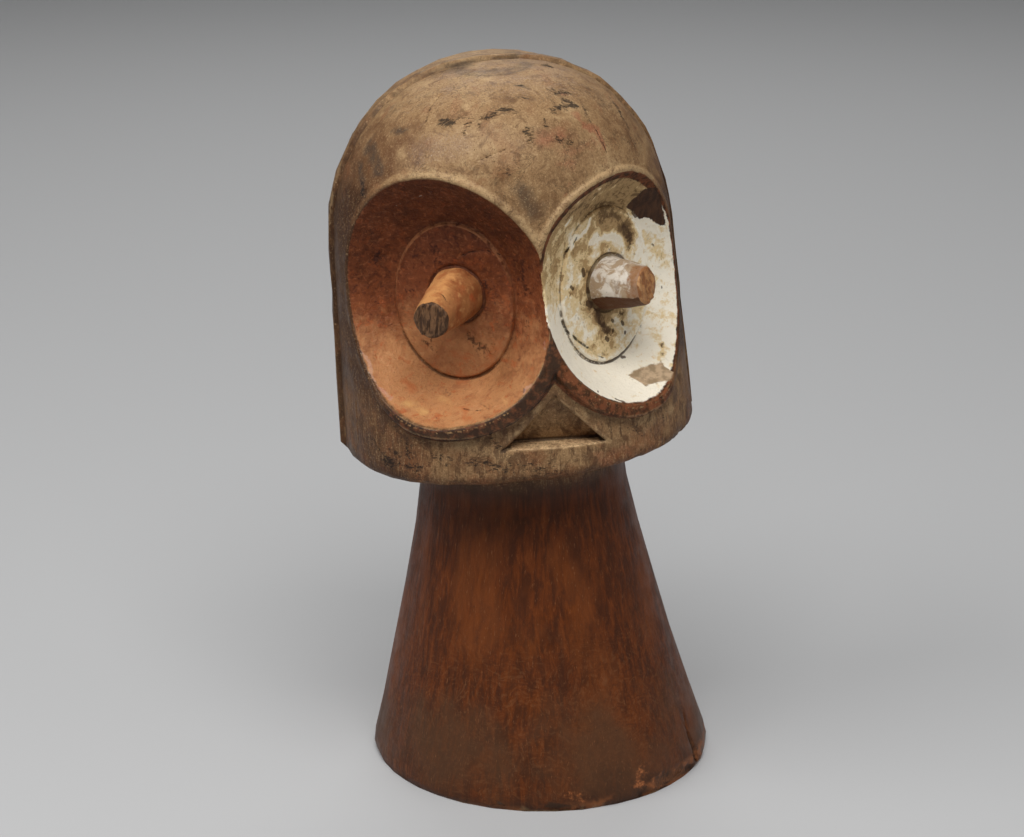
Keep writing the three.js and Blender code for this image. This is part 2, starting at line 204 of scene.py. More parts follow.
def eye_places(eye, u, v):
    """Places out along an eye's plane and away from it, for points of the face's own frame."""
    cos, sin = math.cos(eye["turn"]), math.sin(eye["turn"])
    out = (u - FACE_SHIFT) * eye["side"]
    return out * cos + v * sin, out * sin - v * cos - EYE_PLANE_DISTANCE


def rim_measure(eye, s, t):
    """In-plane distance outside an eye's rim, and the angle round it."""
    rise = t - eye["up"]
    out = s - eye["across"] + rise * eye["roll"]
    x, y = out / eye["wide"], rise / eye["tall"]
    length = np.hypot(x, y) + 1e-6
    bend = np.where(y > 0, eye["upper"], eye["lower"])
    power = mix(2.0, bend, clamp01(-x / length))
    size = (np.abs(x) ** power + np.abs(y) ** power) ** (1 / power) + 1e-6
    return np.hypot(out, rise) * (1 - 1 / size), np.arctan2(y, x), size


def rim_heights(eye):
    """Height of the lip's edge over the eye's plane, round the rim, found by halving."""
    angles = np.linspace(-math.pi, math.pi, 361)
    low, high = np.full(361, -40.0), np.full(361, 40.0)
    x, y = np.cos(angles), np.sin(angles)
    size = rim_measure(eye, eye["across"] + x * eye["wide"] - y * eye["tall"] * eye["roll"], eye["up"] + y * eye["tall"])[
        2
    ]
    rise = y * eye["tall"] / size
    s = eye["across"] + x * eye["wide"] / size - rise * eye["roll"]
    t = eye["up"] + rise
    cos, sin = math.cos(eye["turn"]), math.sin(eye["turn"])
    for _ in range(30):
        middle = (low + high) / 2
        away = EYE_PLANE_DISTANCE + middle
        u = FACE_SHIFT + eye["side"] * (s * cos + away * sin)
        v = s * sin - away * cos
        outside, front = outside_head(u, v, t)
        inside = outside < lip_proud(t, front)
        low, high = np.where(inside, middle, low), np.where(inside, high, middle)
    return angles, low


for each_eye in (RED, WHITE):
    each_eye["edge"] = rim_heights(each_eye)


def bowl_floor(eye, s, t):
    """Height of a bowl's floor over the eye's plane, and distances outside its rim and disc."""
    outside_rim, angle, _ = rim_measure(eye, s, t)
    du, dt = s - eye["disc"][0], t - eye["disc"][1]
    size = np.hypot(du / DISC_HALF_WIDTH, dt / DISC_HALF_HEIGHT) + 1e-6
    outside_disc = np.hypot(du, dt) * (1 - 1 / size)
    climb = np.maximum(outside_disc, 0) / np.maximum(np.maximum(outside_disc, 0) - outside_rim, 1.0)
    edge = np.interp(angle, *eye["edge"])
    floor = mix(-DISC_DEPTH, edge, climb**BOWL_WALL_POWER)
    raised = DISC_RAISED * (1 - smoothstep(outside_disc, -0.9, 0.2))
    hollow = DISC_HOLLOW * np.maximum(1 - (size / DISC_EDGE) ** 2, 0)
    turn = np.arctan2(dt, du)
    cut = 0.08 + 0.36 * clamp01(0.5 + 0.8 * np.cos(turn - eye["cut"]) + 0.3 * np.sin(5 * turn + 1))
    proud = 0.45 * clamp01(np.cos(turn - eye["ridge"]) + 0.15)
    groove = cut * np.exp(-(((outside_disc - 0.7) / 0.95) ** 2))
    ridge = proud * np.exp(-(((outside_disc + 0.5) / 0.8) ** 2))
    root = np.hypot(s - eye["peg"][0], t - eye["peg"][1]) - PEG_RADII[0]
    gap = 0.9 * np.exp(-(((root - 0.5) / 0.8) ** 2))
    return floor + raised - hollow - groove + ridge - gap, outside_rim, outside_disc, angle


def peg_places(eye, s, t, n):
    """Place along a peg's axis, and distance outside the peg."""
    cos, sin = math.cos(eye["rise"]), math.sin(eye["rise"])
    rs, rt, rn = s - eye["peg"][0], t - eye["peg"][1], n - (DISC_RAISED - DISC_DEPTH - DISC_HOLLOW)
    along = rt * sin + rn * cos
    radial = np.hypot(rs, rt * cos - rn * sin)
    radius = np.interp(along, [0, eye["length"] / 2, eye["length"]], PEG_RADII)
    turn = np.arctan2(rt * cos - rn * sin, rs)
    radius = radius * (1 + 0.018 * np.cos(7 * turn + 1.3 * np.sin(along / 5)))
    end = (along - eye["length"]) * math.cos(eye["slant"]) + rs * math.sin(eye["slant"])
    return along, smooth_max(radial - radius, end, PEG_TIP_ROUNDING), end


def notch_field(u, v, w):
    """Negative inside the notch, and how widely its edge is rounded there."""
    du, dw = u - NOTCH_MIDDLE, w - NOTCH_LEDGE_UP
    cos, sin = math.cos(NOTCH_TILT), math.sin(NOTCH_TILT)
    x, z = du * cos - dw * sin, du * sin + dw * cos
    tall = NOTCH_APEX_UP - NOTCH_LEDGE_UP
    left, right = NOTCH_HALF_WIDTH + NOTCH_APEX_SHIFT, NOTCH_HALF_WIDTH - NOTCH_APEX_SHIFT
    above_left = (z * left - (x + NOTCH_HALF_WIDTH) * tall) / math.hypot(left, tall)
    above_right = (z * right - (NOTCH_HALF_WIDTH - x) * tall) / math.hypot(right, tall)
    triangle = np.maximum(np.maximum(above_left, above_right), -z)
    back = HALF_DEPTH_LOW - NOTCH_DEPTH + (NOTCH_DEPTH - NOTCH_APEX_DEPTH) * z / tall
    worn = smoothstep(above_left - np.maximum(above_right, -z), -3, 0)
    return np.maximum(triangle, (back + v) * 0.9), mix(0.7, 3.2, worn)


NECK_HEIGHTS = [h for _, h in NECK_PROFILE]
NECK_RADII = [r for r, _ in NECK_PROFILE]


def outside_neck(x, y, z):
    radius = np.interp(z, NECK_HEIGHTS, NECK_RADII)
    side = (np.hypot(x + math.tan(LEAN) * z, y) - radius) * 0.97
    return np.maximum(side, z - NECK_TOP)


def lean_places(p):
    """Places in the head's own leaning frame."""
    cos, sin = math.cos(LEAN), math.sin(LEAN)
    return p[:, 0] * cos + p[:, 2] * sin, p[:, 1], p[:, 2] * cos - p[:, 0] * sin


def face_places(u, v):
    """Places in the frame of the face that a point belongs to, the back one half turned."""
    front = v <= 0
    return np.where(front, u, 2 * BACK_MIDDLE - u), np.where(front, v, -v)


def with_seam(shape, u, v, w):
    """The field with the ridge over the crown, and the fine groove at its foot on each face."""
    shape = shape + SEAM_GROOVE * np.exp(-(((np.abs(v) - SEAM_WIDTH / 2 - 0.7) / 0.7) ** 2))
    middle = sway(w)
    inner_u = middle + (u - middle) * (1 - SEAM_PROUD / HALF_WIDTH_HIGH)
    rise = np.maximum(w - WIDTH_DOME_START, 0)
    tall = HEAD_TOP - WIDTH_DOME_START
    inner_w = np.where(w > WIDTH_DOME_START, WIDTH_DOME_START + rise * tall / (tall + SEAM_PROUD), w)
    ridge = smooth_max(outside_head(inner_u, v, inner_w)[0], np.abs(v) - SEAM_WIDTH / 2, 1.0)
    return smooth_min(shape, ridge, 0.4)


def field(p):
    """Distance outside the whole carving at points p, negative inside."""
    u, v, w = lean_places(p)
    shape, front = outside_head(u, v, w)
    fu, fv = face_places(u, v)
    lips, cavities, pegs = [], [], []
    for eye in (RED, WHITE):
        s, n = eye_places(eye, fu, fv)
        close = (np.abs(s - eye["across"]) < eye["wide"] + 9) & (np.abs(w - eye["up"]) < eye["tall"] + 9)
        near = np.flatnonzero(close & (n > -20) & (w > HEAD_BOTTOM))
        if not len(near):
            continue
        s, t, n = s[near], w[near], n[near]
        floor, outside_rim, _, angle = bowl_floor(eye, s, t)
        lower, inner = clamp01(-np.sin(angle)), clamp01(-np.cos(angle))
        width = LIP_WIDTH + LIP_DROP * lower**2 + LIP_BRIDGE * inner * lower
        proud = shape[near] - lip_proud(t, front[near])
        lips.append((near, smooth_max(proud, outside_rim - width, EDGE_ROUNDING)))
        cavities.append((near, np.maximum((floor - n) * 0.8, outside_rim)))
        pegs.append((near, peg_places(eye, s, t, n)[1]))
    for near, lip in lips:
        shape[near] = smooth_min(shape[near], lip, 0.5)
    for near, cavity in cavities:
        shape[near] = smooth_max(shape[near], -cavity, EDGE_ROUNDING)
    near = np.flatnonzero((np.abs(fu) < 30) & (w < NOTCH_APEX_UP + 5) & (w > NOTCH_LEDGE_UP - 5) & (fv < -40))
    if len(near):
        notch, worn = notch_field(fu[near], fv[near], w[near])
        shape[near] = smooth_max(shape[near], -notch, worn)
    for near, peg in pegs:
        shape[near] = smooth_min(shape[near], peg, PEG_FOOT_FILLET)
    near = np.flatnonzero((np.abs(v) < SEAM_WIDTH) & (w > HEAD_BOTTOM - 4))
    if len(near):
        shape[near] = with_seam(shape[near], u[near], v[near], w[near])
    shape = smooth_min(shape, outside_neck(p[:, 0], p[:, 1], p[:, 2]), EDGE_ROUNDING)
    return np.maximum(shape, -p[:, 2]).astype(np.float32)


# ---------------------------------------------------------------- places of marks

# The camera of the photograph; marks are placed by pixels of its frame, on the carving's surface.
CAMERA_AZIMUTH = math.radians(-12)
CAMERA_REACH, CAMERA_HEIGHT = 1.100493, 0.52076
CAMERA_PITCH, CAMERA_YAW = math.radians(18.838), math.radians(0.647)
FOCAL_PIXELS, PHOTO_WIDTH, PHOTO_HEIGHT, SENSOR = 2800, 1024, 837, 36.0
CAMERA_PLACE = Vector(
    (math.sin(CAMERA_AZIMUTH) * CAMERA_REACH, -math.cos(CAMERA_AZIMUTH) * CAMERA_REACH, CAMERA_HEIGHT)
)
CAMERA_TURN = Euler((math.pi / 2 - CAMERA_PITCH, 0, CAMERA_AZIMUTH + CAMERA_YAW))


def marks(*rows):
    """Marks from rows of a radius in mm, a strength, and x and y of each pixel of the mark's line."""
    return [(row[0], row[1], list(zip(row[2::2], row[3::2]))) for row in rows]


# Soft marks, which fade from their line to their radius.
SMUDGES = marks(
    (6.0, 1.0, 370, 146, 378, 172), (4.5, 0.8, 360, 160, 366, 190), (2.6, 1.0, 396, 130, 406, 128),
    (5.0, 0.5, 384, 122, 392, 106), (7.0, 0.75, 522, 192, 534, 208), (2.6, 1.0, 513, 86, 529, 88),
    (4.0, 0.5, 470, 168, 482, 158), (5.0, 0.4, 598, 92, 606, 112), (5.0, 0.8, 650, 598, 630, 603, 612, 614),
    (4.0, 0.8, 602, 633, 612, 640), (3.5, 0.8, 654, 628, 652, 632), (4.0, 0.6, 480, 702, 500, 702),
    (4.0, 0.6, 516, 764, 520, 772), (4.0, 0.6, 560, 750, 566, 765), (9.0, 0.5, 425, 710, 430, 728),
    (5.0, 0.6, 478, 620, 500, 624), (5.0, 0.6, 655, 540, 668, 560), (5.0, 0.5, 560, 500, 575, 515),
)
FLECKS = marks(
    (3.2, 1.0, 443, 122, 454, 124), (3.6, 0.9, 464, 130, 478, 122, 492, 117, 510, 112),
    (1.6, 0.8, 450, 121, 470, 121), (2.4, 0.9, 516, 86, 528, 87), (3.6, 0.8, 548, 90, 560, 95, 572, 93),
    (3.4, 1.0, 552, 109, 566, 104, 580, 101), (2.4, 0.9, 580, 103, 588, 115, 592, 122),
    (2.6, 0.9, 543, 120, 546, 127), (3.6, 0.9, 529, 128, 534, 142), (2.6, 0.7, 518, 98, 532, 101),
    (3.2, 0.8, 610, 98, 618, 112, 626, 126), (2.6, 0.7, 558, 138, 568, 143), (2.6, 0.6, 620, 138, 628, 143),
    (2.4, 1.2, 524, 60, 533, 63), (2.4, 1.2, 542, 65, 550, 67), (2.0, 0.9, 432, 70, 440, 72),
    (2.2, 0.8, 396, 93, 404, 86), (3.0, 0.8, 362, 178, 368, 194), (3.2, 1.0, 386, 461, 420, 466),
    (2.5, 0.9, 390, 452, 403, 455), (3.5, 0.7, 436, 454, 452, 462), (4.2, 0.7, 470, 462, 505, 470),
    (3.0, 0.8, 404, 438, 408, 453), (4.0, 0.6, 372, 440, 384, 460), (4.0, 0.5, 520, 468, 560, 468),
    (3.0, 0.6, 494, 440, 506, 447), (3.0, 0.6, 660, 398, 666, 420), (3.0, 0.5, 628, 424, 640, 432),
    (3.0, 0.6, 571, 180, 577, 187), (5.0, 0.45, 500, 175, 520, 165), (4.0, 0.5, 600, 98, 640, 150),
)
STAINS = marks(
    (4.2, 1.0, 578, 116, 584, 127, 596, 132), (3.6, 1.0, 598, 134, 604, 150), (6.5, 0.7, 543, 139, 572, 134),
    (7.0, 0.55, 566, 152, 590, 148), (3.2, 0.7, 566, 95, 580, 98), (2.6, 1.0, 527, 546, 543, 544),
    (5.0, 0.5, 560, 168, 575, 162), (3.5, 0.7, 572, 186, 566, 196), (7.0, 0.7, 600, 460, 630, 450),
)
PALE_AND_HIGHLIGHT = marks(
    (6.5, 0.9, 476, 74, 492, 82), (6.0, 0.6, 468, 106, 500, 100), (5.0, 0.7, 558, 120, 576, 118),
    (7.0, 0.6, 425, 437, 470, 448, 510, 455), (5.0, 0.7, 640, 425, 672, 410), (4.0, 0.5, 555, 536, 572, 540),
    (5.0, 0.45, 585, 568, 602, 592), (4.0, 0.6, 400, 180, 430, 176, 462, 182), (6.0, 0.5, 400, 150, 410, 170),
    # The rows along the upper rims and along the ridges beside the mouth notch are painted highlights; the others are
    # pale wood.
    (3.5, 0.8, 500, 208, 520, 222, 534, 236), (3.5, 0.8, 548, 232, 570, 204, 598, 176, 622, 161),
    (4.0, 0.6, 520, 66, 560, 76), (3.0, 0.8, 540, 404, 524, 422, 506, 436),
    (2.5, 0.8, 566, 402, 585, 418, 600, 430),
)
GLOSS = marks((10.0, 1.0, 424, 150, 450, 147))
GREYED = marks(
    (16.0, 1.0, 428, 735, 446, 756), (14.0, 0.9, 592, 758, 620, 768), (11.0, 0.6, 415, 690, 420, 700),
    (10.0, 0.6, 540, 690, 560, 735), (9.0, 0.5, 545, 560, 560, 590), (8.0, 0.6, 490, 760, 530, 780),
)
ORANGE = marks(
    (5.0, 1.0, 404, 384, 412, 393), (4.6, 0.9, 455, 384, 470, 378), (4.2, 0.9, 461, 409, 470, 416),
    (3.2, 0.8, 424, 396, 426, 400), (5.0, 0.7, 488, 368, 498, 344), (4.0, 0.7, 465, 288, 474, 304),
    (4.0, 0.6, 455, 352, 470, 360), (3.0, 0.6, 474, 372, 480, 374), (4.0, 0.6, 500, 290, 504, 310),
)
YELLOWED = marks(
    (4.6, 1.0, 411, 404, 424, 409), (4.0, 0.6, 440, 396, 446, 402), (4.0, 0.5, 500, 398, 506, 404),
)
# Glossy spots on the rims, which the colour also paints pale as a painted highlight.
GLOSS_AND_HIGHLIGHT = marks(
    (2.4, 1.0, 357, 344, 365, 362, 376, 382, 388, 396), (2.2, 1.0, 546, 345, 548, 353),
    (2.4, 1.0, 544, 371, 536, 382, 521, 396), (1.8, 0.7, 455, 429, 480, 430, 500, 424),
    (1.6, 0.5, 432, 194, 446, 190),
)
GOUGES = marks(
    (2.6, 1.0, 375, 257, 388, 254), (2.0, 1.0, 384, 316, 390, 312), (1.8, 0.8, 430, 420, 437, 419),
    (1.6, 0.8, 519, 396, 524, 392), (4.6, 0.6, 486, 284, 497, 292), (4.0, 0.55, 403, 287, 414, 292),
    (3.0, 0.7, 523, 262, 528, 290, 526, 322), (3.0, 0.6, 424, 330, 432, 344), (3.0, 0.5, 440, 384, 446, 392),
    (4.0, 0.6, 428, 238, 440, 262), (5.0, 0.7, 470, 336, 488, 352),
)
# Dirt in the white bowl; the rows below the white peg also paint its shadow.
DIRT_AND_SHADOW = marks(
    (6.0, 1.0, 598, 312, 606, 324, 606, 336), (4.0, 0.8, 612, 306, 626, 312), (4.6, 1.0, 624, 226, 631, 242),
    (2.2, 1.0, 664, 346, 665, 352, 662, 359), (6.0, 0.6, 604, 216, 622, 212), (4.0, 0.6, 570, 290, 590, 306),
    (4.0, 0.5, 648, 236, 664, 262), (3.6, 0.5, 646, 302, 654, 318), (3.4, 0.5, 588, 340, 598, 352),
    (4.0, 0.5, 600, 345, 612, 352), (3.2, 0.7, 583, 262, 586, 276),
)
CHALK = marks(
    (1.3, 1.0, 594, 182, 612, 177, 632, 175, 646, 178), (1.2, 1.0, 576, 201, 588, 189, 600, 176),
    (1.2, 0.9, 593, 201, 600, 188), (1.6, 1.0, 590, 224, 576, 240, 565, 258), (1.3, 0.9, 646, 178, 654, 186),
    (1.8, 0.8, 573, 216, 568, 224), (2.2, 1.0, 640, 224, 643, 240, 641, 262),
    (1.6, 0.9, 652, 226, 668, 238, 672, 250), (3.4, 0.9, 596, 240, 606, 236, 618, 240),
    (1.4, 0.9, 668, 200, 672, 222),
)
BROKEN = marks(
    (5.0, 1.0, 659, 782, 672, 777, 690, 768), (2.6, 0.8, 640, 790, 655, 788), (2.2, 0.7, 548, 806, 575, 807),
)

# Fine marks, of which the radius is half the width.
CRACKS = marks(
    (0.35, 0.9, 440, 95, 433, 103, 428, 112, 425, 124, 421, 126), (0.3, 0.6, 452, 80, 464, 76, 475, 70),
    (0.3, 0.7, 592, 122, 601, 140, 607, 153), (0.3, 0.6, 574, 160, 588, 152),
    (0.4, 0.8, 463, 408, 470, 410, 481, 410), (0.3, 0.7, 478, 402, 489, 409), (0.35, 0.7, 445, 391, 449, 396),
    (0.4, 0.7, 460, 256, 470, 252, 486, 250, 500, 255),
    (0.45, 1.0, 577, 238, 566, 252, 559, 268, 557, 285, 558, 305, 561, 316),
    (0.5, 1.0, 562, 321, 566, 330, 577, 340, 588, 348), (0.3, 0.8, 588, 348, 598, 356, 612, 361),
    (0.3, 0.8, 641, 325, 640, 340, 633, 352), (0.3, 0.6, 480, 160, 505, 150), (0.3, 0.5, 363, 200, 372, 235),
    (1.3, 1.0, 688, 734, 692, 744, 696, 758), (0.5, 0.9, 684, 712, 688, 734), (0.4, 0.6, 412, 456, 414, 470),
    (0.35, 0.7, 356, 400, 358, 440), (0.35, 0.7, 446, 300, 441, 293),
)
SPOTS = marks(
    (1.1, 1.0, 583, 270, 584, 275), (0.9, 1.0, 587, 289, 588, 292), (1.4, 1.0, 588, 303, 591, 305),
    (0.8, 0.9, 571, 287, 573, 289), (0.9, 1.0, 606, 338, 608, 340), (0.8, 0.9, 613, 330, 613, 331),
    (0.9, 0.9, 622, 322, 623, 324), (0.8, 0.8, 625, 332, 625, 333), (0.8, 0.9, 612, 320, 613, 321),
    (0.4, 1.0, 662, 287, 662, 288), (0.9, 0.9, 622, 357, 624, 357), (0.4, 1.0, 598, 391, 598, 392),
    (0.8, 0.8, 616, 399, 624, 402), (0.6, 0.7, 652, 244, 654, 246), (0.9, 1.0, 633, 212, 636, 216),
    (1.9, 1.0, 499, 55, 506, 57, 514, 57),
)
SCRATCHES = marks(
    (0.2, 0.6, 437, 138, 436, 147, 429, 160, 418, 161), (0.2, 0.35, 496, 633, 511, 637),
    (0.2, 0.3, 518, 637, 528, 642), (0.3, 0.6, 396, 206, 420, 196, 452, 186), (0.3, 0.5, 402, 196, 432, 192),
    (0.3, 0.5, 440, 200, 476, 206), (0.3, 0.6, 616, 360, 618, 372),
)

DEEP_GOUGES, FOOT_SPLIT, CROWN_CHIP = GOUGES[:4], CRACKS[14:15], SPOTS[-1:]

# Bare places in the pale paint of the white eye, as outlines in pixels.
DARK_BARE = [
    (626, 207), (633, 199), (645, 189), (655, 187), (660, 195), (664, 212), (666, 226), (658, 225), (
        651, 219
    ),
    (645, 217), (639, 220), (633, 212),
]
TAN_BARE = [
    (628, 376), (634, 370), (645, 366), (656, 364), (662, 360), (664, 366), (672, 371), (676, 375), (
        668, 381
    ),
    (655, 383), (645, 386), (638, 381),
]


MARCH_START, MARCH_END, MARCH_STEPS = 850.0, 1500, 160


def photo_places(pixels):
    """Places on the carving, in millimetres, under pixels of the photograph's frame."""
    aims = [
        Vector((x - PHOTO_WIDTH / 2, PHOTO_HEIGHT / 2 - y, -FOCAL_PIXELS)).normalized() for x, y in pixels
    ]
    for aim in aims:
        aim.rotate(CAMERA_TURN)
    aims = np.array(aims)
    start = np.array(CAMERA_PLACE) / MM
    reach = np.full(len(aims), MARCH_START)
    for _ in range(MARCH_STEPS):
        reach += np.clip(field((start + aims * reach[:, None]).astype(np.float32)) * 0.7, -5, 20)
        reach = np.minimum(reach, MARCH_END)
    return start + aims * reach[:, None]


SOFT_MARKS = dict(
    smudge=SMUDGES, fleck=FLECKS, stain=STAINS, pale_and_highlight=PALE_AND_HIGHLIGHT, gloss=GLOSS, greyed=GREYED, orange=ORANGE,
    yellowed=YELLOWED, gloss_and_highlight=GLOSS_AND_HIGHLIGHT, gouge=GOUGES, dirt_and_shadow=DIRT_AND_SHADOW, chalk=CHALK, broken=BROKEN,
)
FINE_MARKS = dict(crack=CRACKS, spot=SPOTS, scratch=SCRATCHES)
ALL_PIXELS = set(DARK_BARE) | set(TAN_BARE)
for each_group in [*SOFT_MARKS.values(), *FINE_MARKS.values()]:
    ALL_PIXELS.update(pixel for _, _, pixels in each_group for pixel in pixels)
ALL_PIXELS = sorted(ALL_PIXELS)
PLACE_OF = dict(zip(ALL_PIXELS, photo_places(ALL_PIXELS)))


def places_of(pixels):
    return np.array([PLACE_OF[pixel] for pixel in pixels])


def ragged(p):
    """Points shifted a little by noise, so that soft marks have uneven outlines."""
    shift = [2.4 * value_noise(p / 6, seed) + 1.1 * value_noise(p / 2.2, seed + 3) for seed in (40, 41, 42)]
    return p + np.stack(shift, 1)


def line_distance(p, places):
    """Distance of points from a line through places."""
    best = np.full(len(p), np.inf, np.float32)
    for a, b in zip(places[:-1], places[1:]):
        along = b - a
        share = clamp01((p - a) @ along / max(float(along @ along), 1e-6))
        best = np.minimum(best, np.linalg.norm(p - a - share[:, None] * along, axis=1))
    return best


def nearness(p, group, fine=False):
    """How deep each point lies in soft marks, from 0 to 1, or on fine marks, a half at their edges."""
    best = np.zeros(len(p), np.float32)
    for radius, strength, pixels in group:
        places = places_of(pixels)
        reach = radius + 0.4 if fine else radius
        low, high = places.min(0) - reach, places.max(0) + reach
        near = np.flatnonzero(np.all((p > low) & (p < high), axis=1))
        distance = line_distance(p[near], places)
        value = (radius - distance) / 0.8 + 0.5 if fine else 1 - distance / radius
        best[near] = np.maximum(best[near], clamp01(value) * strength)
    return best


def outline_depth(s, t, corners):
    """Distance inside a closed outline of an eye's plane, negative outside."""
    inside = np.zeros(len(s), bool)
    best = np.full(len(s), 99.0)
    for (s0, t0), (s1, t1) in zip(corners, np.roll(corners, -1, axis=0)):
        ds, dt = s1 - s0, t1 - t0
        share = clamp01(((s - s0) * ds + (t - t0) * dt) / (ds * ds + dt * dt))
        best = np.minimum(best, np.hypot(s - s0 - share * ds, t - t0 - share * dt))
        crosses = (t0 > t) != (t1 > t)
        inside ^= crosses & (s < s0 + ds * (t - t0) / (dt if abs(dt) > 1e-9 else 1e-9))
    return np.where(inside, best, -best)


def eye_outline(eye, pixels):
    u, v, w = lean_places(places_of(pixels))
    s, _ = eye_places(eye, u, v)
    return np.stack([s, w], 1)


# ---------------------------------------------------------------- mesh of the field

GRID_LOW = np.array([-91.0, -75.0, -3.0])
GRID_SPAN = np.array([167.0, 150.0, 308.0])


def in_parts(function, p, size=400000):
    return np.concatenate([function(p[i : i + size]) for i in range(0, len(p), size)])


def grid_values():
    """Field values on a grid, exact near the surface and only rough away from it."""
    small = 4  # nodes along a small block, two of which lie along a big one
    big = PITCH * small * 2
    count = np.ceil(GRID_SPAN / big).astype(int)
    index = np.indices(count).reshape(3, -1).T
    centre = GRID_LOW + (index + 0.5) * big
    rough = in_parts(field, centre.astype(np.float32))
    keep = np.abs(rough) < big * 1.3 + 1.0
    values = rough.reshape(count)
    for axis in range(3):
        values = np.repeat(values, small * 2, axis)
    index = index[keep]
    octants = np.indices((2, 2, 2)).reshape(3, -1).T
    index = (index[:, None, :] * 2 + octants[None]).reshape(-1, 3)
    centre = GRID_LOW + (index + 0.5) * big / 2
    rough = in_parts(field, centre.astype(np.float32))
    index = index[np.abs(rough) < big / 2 * 1.3 + 0.6]
    cells = np.indices((small,) * 3).reshape(3, -1).T
    nodes = (index[:, None, :] * small + cells[None]).reshape(-1, 3)
    exact = in_parts(lambda k: field((GRID_LOW + k * PITCH).astype(np.float32)), nodes)
    values[nodes[:, 0], nodes[:, 1], nodes[:, 2]] = exact
    return values


def surface_net(values):
    """Vertices and quads of the zero surface: one vertex in each cell it crosses."""
    inside = values < 0
    corners = np.zeros(np.array(values.shape) - 1, np.uint8)
    offsets = [(i, j, k) for i in (0, 1) for j in (0, 1) for k in (0, 1)]
    nx, ny, nz = corners.shape
    for i, j, k in offsets:
        corners += inside[i : i + nx, j : j + ny, k : k + nz]
    cells = np.argwhere((corners > 0) & (corners < 8))
    ids = np.full(corners.shape, -1, np.int32)
    ids[tuple(cells.T)] = np.arange(len(cells))
    total, hits = np.zeros((len(cells), 3)), np.zeros(len(cells))
    for a in offsets:
        for axis in range(3):
            if a[axis]:
                continue
            b = list(a)
            b[axis] = 1
            va = values[tuple((cells + a).T)]
            vb = values[tuple((cells + b).T)]
            crossed = (va < 0) != (vb < 0)
            share = np.where(crossed, va / np.where(crossed, va - vb, 1), 0)
            place = np.array(a, float) + share[:, None] * (np.array(b) - np.array(a))
            total += place * crossed[:, None]
            hits += crossed
    vertices = GRID_LOW + (cells + total / hits[:, None]) * PITCH
    quads = []
    for axis in range(3):
        p, q = [(1, 2), (2, 0), (0, 1)][axis]
        first = [slice(None)] * 3
        second = [slice(None)] * 3
        first[axis], second[axis] = slice(0, -1), slice(1, None)
        low_in, high_in = inside[tuple(first)], inside[tuple(second)]
        for flip, crossing in ((False, low_in & ~high_in), (True, ~low_in & high_in)):
            edge = np.argwhere(crossing)
            steps = []
            for dp, dq in ((-1, -1), (0, -1), (0, 0), (-1, 0)):
                cell = edge.copy()
                cell[:, p] += dp
                cell[:, q] += dq
                steps.append(ids[tuple(cell.T)])
            quad = np.stack(steps, 1)
            quads.append(quad[:, ::-1] if flip else quad)
    return vertices, np.concatenate(quads)


def gradient(p, step=0.25):
    parts = []
    for axis in range(3):
        shift = np.zeros(3, np.float32)
        shift[axis] = step
        parts.append(in_parts(field, p + shift) - in_parts(field, p - shift))
    return np.stack(parts, 1) / (2 * step)


def settle(p):
    """Moves points onto the zero surface and returns them with their outward directions."""
    slope = gradient(p)
    size = np.maximum(np.sum(slope**2, 1), 0.05)
    step = np.clip(in_parts(field, p) / size, -PITCH, PITCH)
    moved = p - slope * step[:, None]
    return moved.astype(np.float32), (slope / np.sqrt(size)[:, None]).astype(np.float32)


